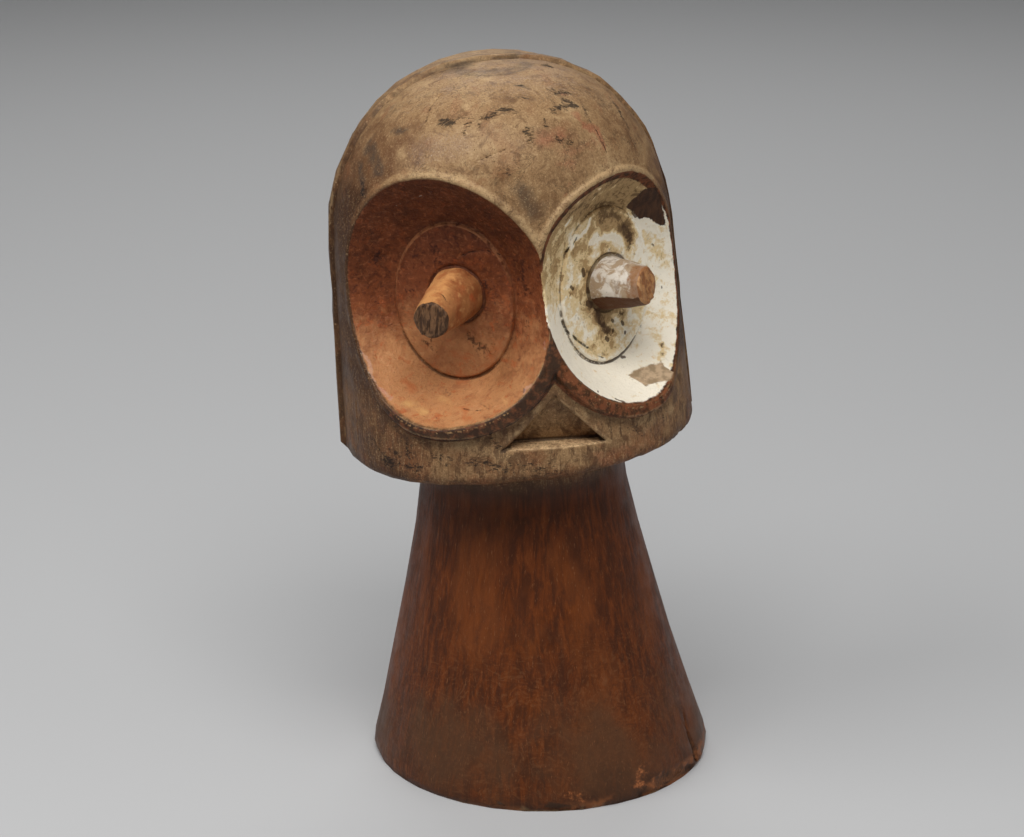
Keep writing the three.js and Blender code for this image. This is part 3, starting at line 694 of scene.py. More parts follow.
def relief(p, normal):
    """How far the surface stands out at points p: adze marks, wear, crust, nicks and pits."""
    u, v, w = lean_places(p)
    fu, fv = face_places(u, v)
    head = smoothstep(w, HEAD_BOTTOM - 1, HEAD_BOTTOM + 2)
    marks = 0.28 * value_noise(p / 19, 1) + 0.16 * value_noise(p / 8, 2) + 0.07 * value_noise(p / 3.2, 3)
    neck_marks = 0.3 * value_noise(p / (11, 11, 60), 4) + 0.08 * value_noise(p / (3, 3, 18), 5)
    out = mix(neck_marks, marks, head)
    nick = clamp01(value_noise(p / 6, 8) + 0.5 * value_noise(p / 2.2, 9) - 0.1)
    for eye in (RED, WHITE):
        s, n = eye_places(eye, fu, fv)
        outside_rim, _, _ = rim_measure(eye, s, w)
        inside = smoothstep(-outside_rim, 0, 2) * smoothstep(n, -16, -12)
        crust = 0.13 * value_noise(p / 1.7, 10) + 0.16 * value_noise(p / 4.5, 11)
        out = mix(out, crust, inside * 0.8)
        edge = np.exp(-(((outside_rim - 0.6) / 1.5) ** 2)) * smoothstep(n, -12, -8)
        out = out - edge * nick * 0.3
        along, outside_peg, end = peg_places(eye, s, w, n)
        tip = smoothstep(end, -1.5, 0) * smoothstep(outside_peg, 2, 0.5)
        fibre = value_noise(np.stack([s * 1.1 + w * 0.5, w * 0.16 - s * 0.1, along * 0.2], 1), 12)
        on_peg = smoothstep(along, 2, 6) * smoothstep(outside_peg, 3, 1)
        out = out + on_peg * 0.22 * value_noise(p / 5, 13) + tip * (0.55 * fibre - 0.3)
    seam = smoothstep(np.abs(v), SEAM_WIDTH / 2 + 1, SEAM_WIDTH / 2 - 0.6) * head
    out = out - seam * clamp01(value_noise(p / 6, 14) + 0.4 * value_noise(p / 2, 15) - 0.15) * 0.8
    rim_low = smoothstep(w, HEAD_BOTTOM + 7, HEAD_BOTTOM + 2) * head
    out = out - rim_low * clamp01(value_noise(p / (2.5, 2.5, 7), 16)) * 0.9
    foot = smoothstep(p[:, 2], 9, 0) * smoothstep(normal[:, 2], -0.6, 0.1)
    torn = clamp01(value_noise(p / (6, 6, 12), 6) + 0.4 * value_noise(p / 2, 7) + 0.1) * 1.5
    out = out - foot * torn
    out = out - 1.6 * nearness(p, BROKEN) * (1 + 0.5 * value_noise(p / 2.2, 17))
    out = out - 0.5 * nearness(p, CRACKS, fine=True) - 0.5 * nearness(p, CROWN_CHIP, fine=True)
    out = out - 0.55 * nearness(p, DEEP_GOUGES) * (0.6 + value_noise(p / 1.3, 18))
    out = out - 1.8 * nearness(p, FOOT_SPLIT, fine=True)
    flat = smoothstep(p[:, 2], 0.8, 0.1)
    return out * (1 - flat)


def build_mesh():
    vertices, quads = surface_net(grid_values())
    vertices, _ = settle(vertices.astype(np.float32))
    vertices, normals = settle(vertices)
    vertices = vertices + normals * relief(vertices, normals)[:, None]
    vertices[:, 2] = np.maximum(vertices[:, 2], 0)
    mesh = bpy.data.meshes.new("janus_figure_carving")
    mesh.vertices.add(len(vertices))
    mesh.vertices.foreach_set("co", (vertices * MM).astype(np.float32).ravel())
    mesh.loops.add(quads.size)
    mesh.loops.foreach_set("vertex_index", quads.astype(np.int32).ravel())
    mesh.polygons.add(len(quads))
    mesh.polygons.foreach_set("loop_start", np.arange(0, quads.size, 4, dtype=np.int32))
    mesh.update(calc_edges=True)
    mesh.validate()
    return mesh


def points_of(mesh):
    p = np.empty(len(mesh.vertices) * 3, np.float32)
    mesh.vertices.foreach_get("co", p)
    return p.reshape(-1, 3) / MM


def thinned(mesh):
    """The mesh as an object with fewer triangles, all kept at fine marks and more on the front."""
    piece = bpy.data.objects.new("carved_figure", mesh)
    bpy.context.scene.collection.objects.link(piece)
    p = points_of(mesh)
    fine = np.maximum(nearness(p, CRACKS, fine=True), nearness(p, SPOTS, fine=True))
    fine = np.maximum(fine, nearness(p, SCRATCHES, fine=True)) > 0
    face = smoothstep(-p[:, 1], 5, 25) * smoothstep(p[:, 2], HEAD_BOTTOM, HEAD_BOTTOM + 6)
    keep = np.where(fine, 1.0, 0.2 * face)
    group = piece.vertex_groups.new(name="keep")
    for level in np.unique(np.round(keep, 1)):
        group.add(np.flatnonzero(np.round(keep, 1) == level).tolist(), float(level), "REPLACE")
    modifier = piece.modifiers.new("thin", "DECIMATE")
    modifier.ratio = min(1.0, TRIANGLES / (2 * len(mesh.polygons)))
    modifier.vertex_group = "keep"
    modifier.invert_vertex_group = True
    modifier.vertex_group_factor = 1.0
    view = bpy.context.evaluated_depsgraph_get()
    made = bpy.data.meshes.new_from_object(piece.evaluated_get(view))
    piece.modifiers.clear()
    piece.vertex_groups.clear()
    piece.data = made
    return piece


def add_attribute(mesh, name, values):
    attribute = mesh.attributes.new(name, "FLOAT", "POINT")
    attribute.data.foreach_set("value", np.ascontiguousarray(values, np.float32))


def bump_at(x, middle, width):
    return np.exp(-(((x - middle) / width) ** 2))


def mark_eye(mesh, eye, name, fu, fv, w):
    """Attributes of one eye: how deep in its bowl, disc and peg each place lies. Returns them too."""
    s, n = eye_places(eye, fu, fv)
    floor, outside_rim, outside_disc, angle = bowl_floor(eye, s, w)
    away = (np.abs(n - floor) > 1.6) & (outside_rim < 1)
    inside = np.where(away, -20, np.clip(-outside_rim, -20, 25))
    disc = np.where(away, -30, np.clip(-outside_disc, -30, 30))
    along, outside_peg, end = peg_places(eye, s, w, n)
    peg = np.clip(-outside_peg, -20, 2)
    on_peg = smoothstep(peg, -1.3, -0.7) * smoothstep(n, -8.5, -6.5)
    tip = smoothstep(end, -1.7, -0.7) * smoothstep(peg, -3, -1)
    for part, values in dict(_in=inside, _disc=disc, _peg=on_peg, _tip=tip).items():
        add_attribute(mesh, name + part, values)
    return s, inside, disc, angle, along


def mark(mesh):
    """Writes on the vertices what the material needs to know about each place."""
    p = points_of(mesh)
    _, normal = settle(p)
    u, v, w = lean_places(p)
    fu, fv = face_places(u, v)
    front = smoothstep(-v, -1, 1)
    head = smoothstep(w, HEAD_BOTTOM - 2.2, HEAD_BOTTOM - 0.2)
    add_attribute(mesh, "head", head)
    add_attribute(mesh, "up", w)

    # Tone of the head's wood: pale where hands rub it, dark down the sides, darker just above the lower edge. The
    # notch's up-facing ledge and the tops of the rims are painted paler, painted light.
    squarely = np.abs(v) / (np.hypot(u - sway(w), v) + 1e-6)
    crown = smoothstep(w, 225, 272)
    worn = mix(0.02 + 0.76 * smoothstep(squarely, 0.4, 0.8), 0.85, crown)
    brow = bump_at(w, 222, 26) * smoothstep(squarely, 0.8, 0.95)
    worn = worn - 0.08 * brow
    worn = worn - 0.4 * smoothstep(-fu, 28, 60) * smoothstep(w, 210, 225) * smoothstep(w, 292, 276)
    worn = worn - 0.08 * smoothstep(fu, 22, 48) * smoothstep(w, 225, 240) * smoothstep(w, 292, 276)
    chin = smoothstep(w, 182, 168)
    chin_worn = 0.34 + 0.4 * smoothstep(squarely, 0.5, 0.85) - 0.3 * smoothstep(
        w, HEAD_BOTTOM + 7, HEAD_BOTTOM + 1
    )
    worn = mix(worn, chin_worn, chin)
    worn = worn + 0.16 * smoothstep(fu, 25, 52) * chin
    notch, _ = notch_field(fu, fv, w)
    in_notch = smoothstep(-notch, -1.2, 0.2) * (fv < -40) * (np.abs(fu) < 30)
    # The notch's up-facing ledge is painted paler, a painted light.
    lit_ledge = in_notch * smoothstep(normal[:, 2], 0.2, 0.7)
    worn = mix(worn, 0.8 + 0.5 * lit_ledge, in_notch)
    seam = smoothstep(np.abs(v), SEAM_WIDTH / 2 + 0.6, SEAM_WIDTH / 2 - 0.4)
    worn = worn + seam * mix(0.12, -0.1, crown)
    add_attribute(mesh, "lit_ledge", lit_ledge)
    add_attribute(mesh, "seam_foot", bump_at(np.abs(v), SEAM_WIDTH / 2 + 0.8, 1.0) * head)
    add_attribute(mesh, "chin", chin)

    red = mark_eye(mesh, RED, "red", fu, fv, w)
    white = mark_eye(mesh, WHITE, "white", fu, fv, w)
    # The tops of the rims are painted paler, a painted highlight; the down-facing lower lips are painted darker, a
    # painted shade.
    lips, lip_dark_and_shaded, rim_top_highlight = np.zeros((3, len(p)))
    for _, inside, _, angle, _ in (red, white):
        band = smoothstep(inside, -6.5, -5) * smoothstep(inside, 0.6, -0.2)
        low = smoothstep(-np.sin(angle), -0.1, 0.35)
        lips = np.maximum(lips, band * low * smoothstep(squarely, 0.5, 0.7))
        lip_dark_and_shaded = np.maximum(lip_dark_and_shaded, band if inside is red[1] else 0)
        rim_top_highlight = np.maximum(rim_top_highlight, smoothstep(inside, -3.2, -1.6) * smoothstep(inside, 0.8, 0) * (1 - low))
    add_attribute(mesh, "lip", lips)
    add_attribute(mesh, "lip_dark_and_shaded", lip_dark_and_shaded)
    worn = worn + 0.35 * rim_top_highlight
    add_attribute(mesh, "worn", worn)

    # The red bowl: brighter low down, where the paint is rubbed and where the up-facing wall and the disc's lower
    # part get painted light; darkest under the brow, a painted shade.
    s, _, disc, _, _ = red
    low = smoothstep(RED["up"] - w, -34, 46)
    side = smoothstep(s - RED["across"], -30, 30)
    rubbed_and_lit = low * (0.78 + 0.22 * side) + 0.1 * side * (1 - low)
    rubbed_and_lit = rubbed_and_lit + 0.3 * smoothstep(disc, -1, 2) * smoothstep(w, 204, 184)
    rubbed_and_lit = rubbed_and_lit - 0.22 * smoothstep(s - RED["across"], 12, 34) * bump_at(w, 210, 22)
    add_attribute(mesh, "peg_shade", smoothstep(RED["peg"][0] - s, -3, 8))
    add_attribute(mesh, "rubbed_and_lit", rubbed_and_lit)
    # The disc's raised edge is painted paler on its upper side, a painted highlight.
    turn = np.arctan2(w - RED["disc"][1], s - RED["disc"][0])
    lit_disc_edge = bump_at(disc, 0.4, 0.7) * clamp01(0.35 + 0.75 * np.cos(turn - RED["ridge"] - 0.5))
    add_attribute(mesh, "lit_disc_edge", lit_disc_edge)

    # The white bowl: where the paint stops below its rim, and how stained and shaded it is, with painted shade on its
    # upper and inner walls and round its peg.
    s, inside, disc, angle, along = white
    high = smoothstep(np.sin(angle), -0.2, 0.75)
    paint = inside - 0.5 - 2.4 * high * smoothstep(np.cos(angle), 1.02, 0.55)
    whole_behind = np.where(v > 0, 9.0, 0.0)
    for name, pixels in (("bare", DARK_BARE), ("tan_bare", TAN_BARE)):
        depth = outline_depth(s, w, eye_outline(WHITE, pixels))
        add_attribute(mesh, name, np.clip(depth - whole_behind, -4, 4))
    add_attribute(mesh, "paint", paint)
    du, dt = s - WHITE["across"], w - WHITE["up"]
    soil_and_shade = 0.78 * smoothstep(dt, 16, 34) * smoothstep(du, 34, 18)
    soil_and_shade = np.maximum(soil_and_shade, 0.6 * smoothstep(-du, 6, 26) * smoothstep(dt, -14, 14))
    soil_and_shade = np.maximum(soil_and_shade, 0.66 * smoothstep(disc, 0, 3) * smoothstep(dt, 6, 16))
    around_peg = np.hypot(s - WHITE["peg"][0], w - WHITE["peg"][1] + 2)
    soil_and_shade = np.maximum(soil_and_shade, 0.54 * smoothstep(around_peg, 24, 12) * smoothstep(du, 14, 0))
    soil_and_shade = np.maximum(soil_and_shade, 0.12 * smoothstep(du, 8, 20))
    soil_and_shade = np.maximum(soil_and_shade, 0.3 * smoothstep(disc, -2, 4))
    add_attribute(mesh, "soil_and_shade", soil_and_shade)
    # Down-facing places, painted dark on the white peg as a painted shade.
    under = smoothstep(normal[:, 2], -0.15, -0.6)
    add_attribute(mesh, "under", under)
    add_attribute(mesh, "along", np.clip(along / WHITE["length"], 0, 1))

    # Marks seen in the photograph lie on the front only; the far side keeps fainter, wider ones.
    frayed = ragged(p)
    for name, group in SOFT_MARKS.items():
        add_attribute(mesh, name, nearness(frayed, group) * front)
    for name, group in FINE_MARKS.items():
        add_attribute(mesh, name, nearness(p, group, fine=True) * front)
    far = value_noise(p / (14, 14, 20), 30) + 0.5 * value_noise(p / 6, 31)
    add_attribute(mesh, "far", clamp01(far * 0.6) * (1 - front))

    # How open the air is just outside each place, and how full the wood just inside it.
    for name, reach in (("open", CREVICE_REACH), ("solid", -CREVICE_REACH)):
        share = in_parts(field, (p + normal * reach).astype(np.float32)) / reach
        add_attribute(mesh, name, np.clip(share, -0.2, 1.3))


figure = thinned(build_mesh())
mark(figure.data)
figure.data.polygons.foreach_set("use_smooth", np.ones(len(figure.data.polygons), bool))

# ---------------------------------------------------------------- material


def rgb(red, green, blue):
    """A colour given as on a screen, as light."""
    parts = [c / 255 for c in (red, green, blue)]
    return tuple(c / 12.92 if c <= 0.04045 else ((c + 0.055) / 1.055) ** 2.4 for c in parts) + (1,)


class Graph:
    """Short names for the nodes of one material."""

    def __init__(self, material):
        material.use_nodes = True
        self.tree = material.node_tree
        self.shader = self.tree.nodes["Principled BSDF"]
        place = self.tree.nodes.new("ShaderNodeTexCoord").outputs["Object"]
        self.place = self.stretch(place, (1000, 1000, 1000))

    def plug(self, value, socket):
        if isinstance(value, bpy.types.NodeSocket):
            self.tree.links.new(value, socket)
        else:
            socket.default_value = value

    def stretch(self, place, factors):
        node = self.tree.nodes.new("ShaderNodeVectorMath")
        node.operation = "MULTIPLY"
        self.plug(place, node.inputs[0])
        node.inputs[1].default_value = factors
        return node.outputs[0]

    def warp(self, place, noise_colour, amount):
        node = self.tree.nodes.new("ShaderNodeVectorMath")
        node.operation = "MULTIPLY_ADD"
        self.plug(noise_colour, node.inputs[0])
        node.inputs[1].default_value = (amount,) * 3
        self.plug(place, node.inputs[2])
        return node.outputs[0]

    def attribute(self, name):
        node = self.tree.nodes.new("ShaderNodeAttribute")
        node.attribute_name = name
        return node.outputs["Fac"]

    def math(self, kind, a, b=0.0, c=0.0):
        node = self.tree.nodes.new("ShaderNodeMath")
        node.operation = kind
        for value, socket in zip((a, b, c), node.inputs):
            self.plug(value, socket)
        return node.outputs[0]

    def times(self, *values):
        out = values[0]
        for value in values[1:]:
            out = self.math("MULTIPLY", out, value)
        return out

    def plus(self, a, b, scale=1.0):
        return self.math("MULTIPLY_ADD", b, scale, a)

    def uneven(self, value, noise, amount):
        """A value, or an attribute given by name, shifted by a noise that lies about a half."""
        value = self.attribute(value) if isinstance(value, str) else value
        return self.plus(value, self.math("SUBTRACT", noise, 0.5), amount)

    def ease(self, value, low, high, start=0.0, end=1.0):
        node = self.tree.nodes.new("ShaderNodeMapRange")
        node.interpolation_type = "SMOOTHSTEP"
        for index, item in enumerate((value, low, high, start, end)):
            self.plug(item, node.inputs[index])
        return node.outputs[0]

    def noise(self, size, detail=3.0, rough=0.55, at=None, warp=0.0, colour=False):
        """Noise about a half, with lumps of a size in millimetres."""
        node = self.tree.nodes.new("ShaderNodeTexNoise")
        self.plug(at if at is not None else self.place, node.inputs["Vector"])
        node.inputs["Scale"].default_value = 1 / size
        node.inputs["Detail"].default_value = detail
        node.inputs["Roughness"].default_value = rough
        node.inputs["Distortion"].default_value = warp
        return node.outputs["Color" if colour else "Fac"]

    def mix(self, share, a, b, kind="RGBA"):
        node = self.tree.nodes.new("ShaderNodeMix")
        node.data_type = kind
        self.plug(share, node.inputs["Factor"])
        self.plug(a, node.inputs["A"])
        self.plug(b, node.inputs["B"])
        return node.outputs["Result"]

    def level(self, share, a, b):
        return self.mix(share, a, b, "FLOAT")


# Colours of the bare and painted wood.
WOOD_DARK, WOOD_BROWN, WOOD_TAN, WOOD_PALE = rgb(64, 36, 17), rgb(112, 78, 50), rgb(152, 119, 82), rgb(
    186, 154, 112
)
WOOD_RED, GRIME_AND_SHADE, SOOT = rgb(128, 76, 46), rgb(52, 39, 29), rgb(38, 31, 26)
NECK_RED, NECK_DARK, NECK_LIGHT, NECK_GREY = rgb(98, 46, 12), rgb(70, 33, 11), rgb(116, 60, 23), rgb(
    84, 58, 38
)
RED_DEEP_AND_SHADED, RED_MIDDLE, RED_RUBBED_AND_LIT, RED_DUSK = rgb(84, 41, 18), rgb(122, 65, 35), rgb(186, 130, 84), rgb(
    92, 42, 24
)
RED_ORANGE, RED_YELLOW = rgb(178, 100, 56), rgb(206, 158, 100)
WHITE_CLEAN, WHITE_CREAM, OLIVE, OLIVE_DARK = rgb(250, 240, 220), rgb(232, 206, 158), rgb(176, 142, 96), rgb(
    104, 78, 50
)
BARE_DARK, BARE_TAN, RIM_BROWN = rgb(84, 56, 38), rgb(196, 168, 136), rgb(126, 72, 42)


def make_wood(material):
    g = Graph(material)
    head, up = g.attribute("head"), g.attribute("up")
    n_large, n_mid, n_small, n_fine = g.noise(26, 4), g.noise(9, 5, 0.6), g.noise(3, 5, 0.62), g.noise(
        0.9, 4, 0.65
    )
    grain_place = g.stretch(g.place, (1, 1, 0.09))
    grain = g.noise(1.5, 5, 0.62, at=grain_place, warp=0.4)
    grain_fine = g.noise(0.55, 3, 0.6, at=g.stretch(g.place, (1, 1, 0.05)))
    slant_place = g.stretch(g.place, (0.35, 1, 1))

    # Bare wood of the head.
    worn = g.uneven("worn", n_large, 0.9)
    worn = g.uneven(worn, n_mid, 0.9)
    worn = g.uneven(worn, grain, 0.35)
    wood = g.mix(g.ease(worn, 0.05, 0.5), WOOD_DARK, WOOD_BROWN)
    wood = g.mix(g.ease(worn, 0.4, 0.85), wood, WOOD_TAN)
    wood = g.mix(g.times(g.ease(worn, 0.8, 1.2), 0.8), wood, WOOD_PALE)
    wood = g.mix(g.times(g.ease(n_small, 0.5, 0.72), g.ease(worn, 0.5, 0.9), 0.5), wood, WOOD_PALE)
    wood = g.mix(g.times(g.ease(g.noise(13, 4, 0.6, warp=0.6), 0.54, 0.68), 0.35), wood, WOOD_RED)
    # The notch's up-facing ledge painted pale, a painted light.
    wood = g.mix(
        g.ease(g.attribute("lit_ledge"), 0.3, 0.9),
        wood,
        g.mix(g.ease(n_fine, 0.3, 0.6), WOOD_TAN, rgb(226, 190, 144)),
    )
    low_red = g.times(g.ease(up, 168, 146), g.ease(g.noise(16, 3), 0.42, 0.6), 0.55)
    wood = g.mix(low_red, wood, WOOD_RED)
    streak = g.times(g.ease(grain, 0.52, 0.68), g.ease(up, 205, 150, 0.12, 0.6))
    wood = g.mix(streak, wood, WOOD_DARK)
    wood = g.mix(g.times(g.ease(grain_fine, 0.56, 0.7), g.ease(up, 180, 150, 0.05, 0.45)), wood, WOOD_PALE)
    stain = g.ease(g.uneven("stain", n_mid, 0.9), 0.25, 0.8)
    wood = g.mix(g.times(stain, 0.6), wood, rgb(150, 84, 60))
    # Pale wood, with painted highlights along the upper rims and the notch ridges.
    pale_and_highlight = g.ease(g.uneven("pale_and_highlight", n_mid, 1.2), 0.2, 0.9)
    wood = g.mix(g.times(pale_and_highlight, 0.7), wood, WOOD_PALE)
    smudge = g.uneven("smudge", n_mid, 1.3)
    smudge = g.plus(smudge, g.attribute("far"), 0.7)
    wood = g.mix(g.times(g.ease(smudge, 0.15, 0.85), 0.75), wood, rgb(62, 52, 45))

    speckle = g.noise(0.7, 3, 0.7, warp=0.5)
    wood = g.mix(g.times(g.ease(speckle, 0.52, 0.68), 0.65), wood, rgb(98, 68, 43))
    wood = g.mix(g.times(g.ease(speckle, 0.46, 0.3), 0.55), wood, rgb(196, 162, 120))
    mottle = g.noise(5, 6, 0.7, warp=0.8)
    wood = g.mix(g.times(g.ease(mottle, 0.51, 0.64), 0.62), wood, rgb(104, 74, 48))

    vein_noise = g.noise(7, 5, 0.66, warp=1.2)
    vein = g.ease(g.math("ABSOLUTE", g.math("SUBTRACT", vein_noise, 0.5)), 0.016, 0.003)
    vein = g.times(vein, g.ease(g.noise(15, 2), 0.46, 0.6))
    wood = g.mix(g.times(vein, 0.6), wood, GRIME_AND_SHADE)
    chin_dark = g.times(
        g.ease(g.noise(4.5, 6, 0.72, at=g.stretch(g.place, (1, 1, 0.55)), warp=0.6), 0.5, 0.58),
        g.attribute("chin"),
    )
    chin_dark = g.times(chin_dark, g.math("SUBTRACT", 1.0, g.attribute("lit_ledge")))
    wood = g.mix(g.times(chin_dark, 0.6), wood, rgb(70, 44, 28))
    wood = g.mix(g.times(g.attribute("seam_foot"), g.ease(n_small, 0.35, 0.55), 0.65), wood, GRIME_AND_SHADE)

    # The lips: reddish brown faces with dark streaks across, painted darker on their down-facing lower faces as
    # painted shade, the red eye's lower lip darkest.
    lip = g.ease(g.uneven("lip", n_small, 0.5), 0.3, 0.7)
    lip_colour = g.mix(g.ease(n_small, 0.4, 0.62), WOOD_DARK, rgb(122, 68, 40))
    lip_colour = g.mix(g.times(g.ease(n_fine, 0.55, 0.72), 0.6), lip_colour, rgb(178, 118, 78))
    dark_shaded_lip = g.mix(g.ease(n_small, 0.45, 0.66), rgb(50, 32, 23), rgb(104, 60, 38))
    lip_colour = g.mix(g.ease(g.attribute("lip_dark_and_shaded"), 0.3, 0.7), lip_colour, dark_shaded_lip)
    wood = g.mix(g.times(lip, 0.92), wood, lip_colour)

    # The neck: satin red-brown, long grain, greyer and more figured low down.
    neck_grain = g.noise(2.6, 6, 0.65, at=g.stretch(g.place, (1, 1, 0.07)), warp=0.5)
    figure_place = g.warp(g.stretch(g.place, (0.5, 0.5, 1)), g.noise(24, 3, colour=True), 30)
    figured = g.noise(1.7, 4, 0.62, at=figure_place)
    neck = g.mix(g.ease(neck_grain, 0.38, 0.62), NECK_DARK, NECK_RED)
    neck = g.mix(g.times(g.ease(neck_grain, 0.55, 0.75), 0.8), neck, NECK_LIGHT)
    neck = g.mix(
        g.times(g.ease(g.noise(22, 4, 0.6, at=g.stretch(g.place, (1, 1, 0.4))), 0.46, 0.66), 0.6),
        neck,
        NECK_LIGHT,
    )
    neck = g.mix(
        g.times(g.ease(g.noise(18, 4, 0.6, at=g.stretch(g.place, (1, 1, 0.5))), 0.5, 0.7), 0.5),
        neck,
        NECK_DARK,
    )
    swirl = g.times(g.ease(up, 85, 45), g.ease(figured, 0.5, 0.68), 0.3)
    neck = g.mix(swirl, neck, rgb(128, 84, 52))
    neck = g.mix(g.times(g.ease(up, 85, 45), g.ease(figured, 0.5, 0.34), 0.35), neck, rgb(58, 32, 18))
    grey = g.plus(g.times(g.attribute("greyed"), 0.8), g.ease(up, 70, 8), 0.5)
    grey = g.uneven(grey, n_large, 1.3)
    neck = g.mix(g.times(g.ease(grey, 0.2, 0.8), 0.62), neck, NECK_GREY)
    neck = g.mix(g.times(g.ease(smudge, 0.3, 0.9), 0.55), neck, rgb(44, 27, 19))
    neck = g.mix(g.times(stain, 0.6), neck, rgb(92, 30, 22))
    neck = g.mix(g.times(g.ease(grain_fine, 0.6, 0.74), 0.4), neck, rgb(150, 100, 64))
    # The neck's top under the head is painted dark, the head's painted shadow.
    neck = g.mix(g.ease(g.plus(up, n_mid, 9), 126, 141), neck, GRIME_AND_SHADE)
    chipped = g.ease(g.uneven("broken", n_small, 1.0), 0.25, 0.5)
    neck = g.mix(g.times(g.ease(g.plus(up, n_small, 14), 16, 8), 0.55), neck, rgb(66, 42, 28))
    neck = g.mix(chipped, neck, g.mix(g.ease(n_fine, 0.35, 0.65), rgb(110, 62, 34), rgb(182, 112, 66)))
    foot = g.times(g.ease(up, 4.5, 1.2), g.ease(n_mid, 0.42, 0.58), 0.7)
    neck = g.mix(foot, neck, rgb(158, 96, 56))
    on_head = g.ease(head, 0.3, 0.7)
    colour = g.mix(on_head, neck, wood)

    # Red bowl: lighter low down and darker under the brow, partly rubbed paint and partly painted light and shade.
    red_in = g.uneven("red_in", n_small, 1.2)
    red_share = g.ease(red_in, 0.4, 1.0)
    rubbed_and_lit = g.uneven("rubbed_and_lit", n_mid, 0.7)
    rubbed_and_lit = g.uneven(rubbed_and_lit, n_small, 0.45)
    red = g.mix(g.ease(rubbed_and_lit, -0.1, 0.35), RED_DEEP_AND_SHADED, RED_MIDDLE)
    red = g.mix(g.ease(rubbed_and_lit, 0.35, 0.85), red, RED_RUBBED_AND_LIT)
    red = g.mix(
        g.times(g.ease(g.attribute("red_disc"), -0.5, 1.5), g.ease(n_mid, 0.35, 0.6), 0.28), red, RED_DUSK
    )
    crust = g.noise(2.0, 6, 0.72, warp=0.8)
    patches = g.noise(7, 6, 0.7, warp=0.9)
    red = g.mix(
        g.times(g.ease(patches, 0.5, 0.66), 0.55),
        red,
        g.mix(g.ease(rubbed_and_lit, 0.2, 0.8), rgb(70, 34, 18), rgb(150, 92, 58)),
    )
    red = g.mix(
        g.times(g.ease(patches, 0.46, 0.32), 0.5),
        red,
        g.mix(g.ease(rubbed_and_lit, 0.2, 0.8), rgb(120, 62, 30), rgb(206, 152, 104)),
    )
    ochre = g.times(g.ease(g.noise(4, 5, 0.7, warp=0.7), 0.54, 0.66), g.ease(rubbed_and_lit, 0.0, 0.7, 0.2, 0.6))
    red = g.mix(ochre, red, rgb(176, 88, 44))
    grit = g.ease(g.noise(1.0, 4, 0.75), 0.56, 0.68)
    red = g.mix(g.times(grit, 0.35), red, rgb(82, 46, 32))
    red = g.mix(g.times(g.ease(crust, 0.54, 0.66), g.ease(rubbed_and_lit, 0.9, 0.2, 0.2, 0.75)), red, rgb(66, 30, 22))
    red = g.mix(g.times(g.ease(crust, 0.46, 0.36), 0.4), red, rgb(172, 104, 66))
    # A painted highlight on the upper side of the disc's raised edge.
    red = g.mix(
        g.times(g.ease(g.attribute("lit_disc_edge"), 0.25, 0.7), g.ease(n_small, 0.35, 0.55), 0.6),
        red,
        rgb(176, 116, 76),
    )
    orange = g.ease(g.uneven("orange", n_mid, 1.6), 0.3, 0.9)
    red = g.mix(g.times(orange, 0.7), red, RED_ORANGE)
    yellowed = g.ease(g.uneven("yellowed", n_mid, 1.2), 0.25, 0.9)
    red = g.mix(g.times(yellowed, 0.75), red, RED_YELLOW)
    gouge = g.ease(g.uneven("gouge", crust, 2.2), 0.35, 0.75)
    red = g.mix(g.times(gouge, 0.75), red, rgb(48, 24, 18))
    scraped = g.noise(1.2, 3, at=g.stretch(g.place, (0.25, 0.3, 1.2)))
    red = g.mix(
        g.times(g.ease(scraped, 0.6, 0.72), g.ease(g.attribute("rubbed_and_lit"), 0.5, 0.0), 0.35),
        red,
        rgb(150, 100, 66),
    )
    # Glossy rim spots painted pale, a painted highlight.
    gloss_and_highlight = g.ease(g.uneven("gloss_and_highlight", n_fine, 1.2), 0.35, 0.8)
    red = g.mix(g.times(gloss_and_highlight, 0.35), red, rgb(208, 172, 156))
    # Crevices of the red bowl darkened, grime and painted shade.
    red = g.mix(g.times(g.ease(g.attribute("open"), 0.7, 0.15), 0.6), red, rgb(48, 25, 17))
    colour = g.mix(red_share, colour, red)

    # Red peg and its fibrous flat end.
    n_peg = g.noise(6, 4, 0.6)
    peg = g.mix(g.ease(n_peg, 0.42, 0.64), rgb(204, 144, 88), rgb(172, 104, 60))
    peg = g.mix(g.times(g.ease(g.uneven("peg_shade", n_peg, 1.2), 0.2, 0.9), 0.6), peg, rgb(116, 58, 29))
    peg = g.mix(g.times(g.ease(n_small, 0.5, 0.7), 0.5), peg, rgb(206, 152, 96))
    peg = g.mix(g.times(orange, 0.7), peg, rgb(176, 78, 38))
    peg = g.mix(g.times(g.ease(g.noise(1.6, 5, 0.7), 0.58, 0.7), 0.5), peg, rgb(72, 42, 28))
    fibre_place = g.stretch(g.place, (0.9, 0.4, 0.22))
    fibre = g.noise(1.1, 4, 0.6, at=fibre_place, warp=0.6)
    end = g.mix(g.ease(fibre, 0.42, 0.6), rgb(72, 49, 33), rgb(122, 88, 60))
    peg = g.mix(g.ease(g.attribute("red_tip"), 0.35, 0.65), peg, end)
    colour = g.mix(g.ease(g.attribute("red_peg"), 0.35, 0.65), colour, peg)

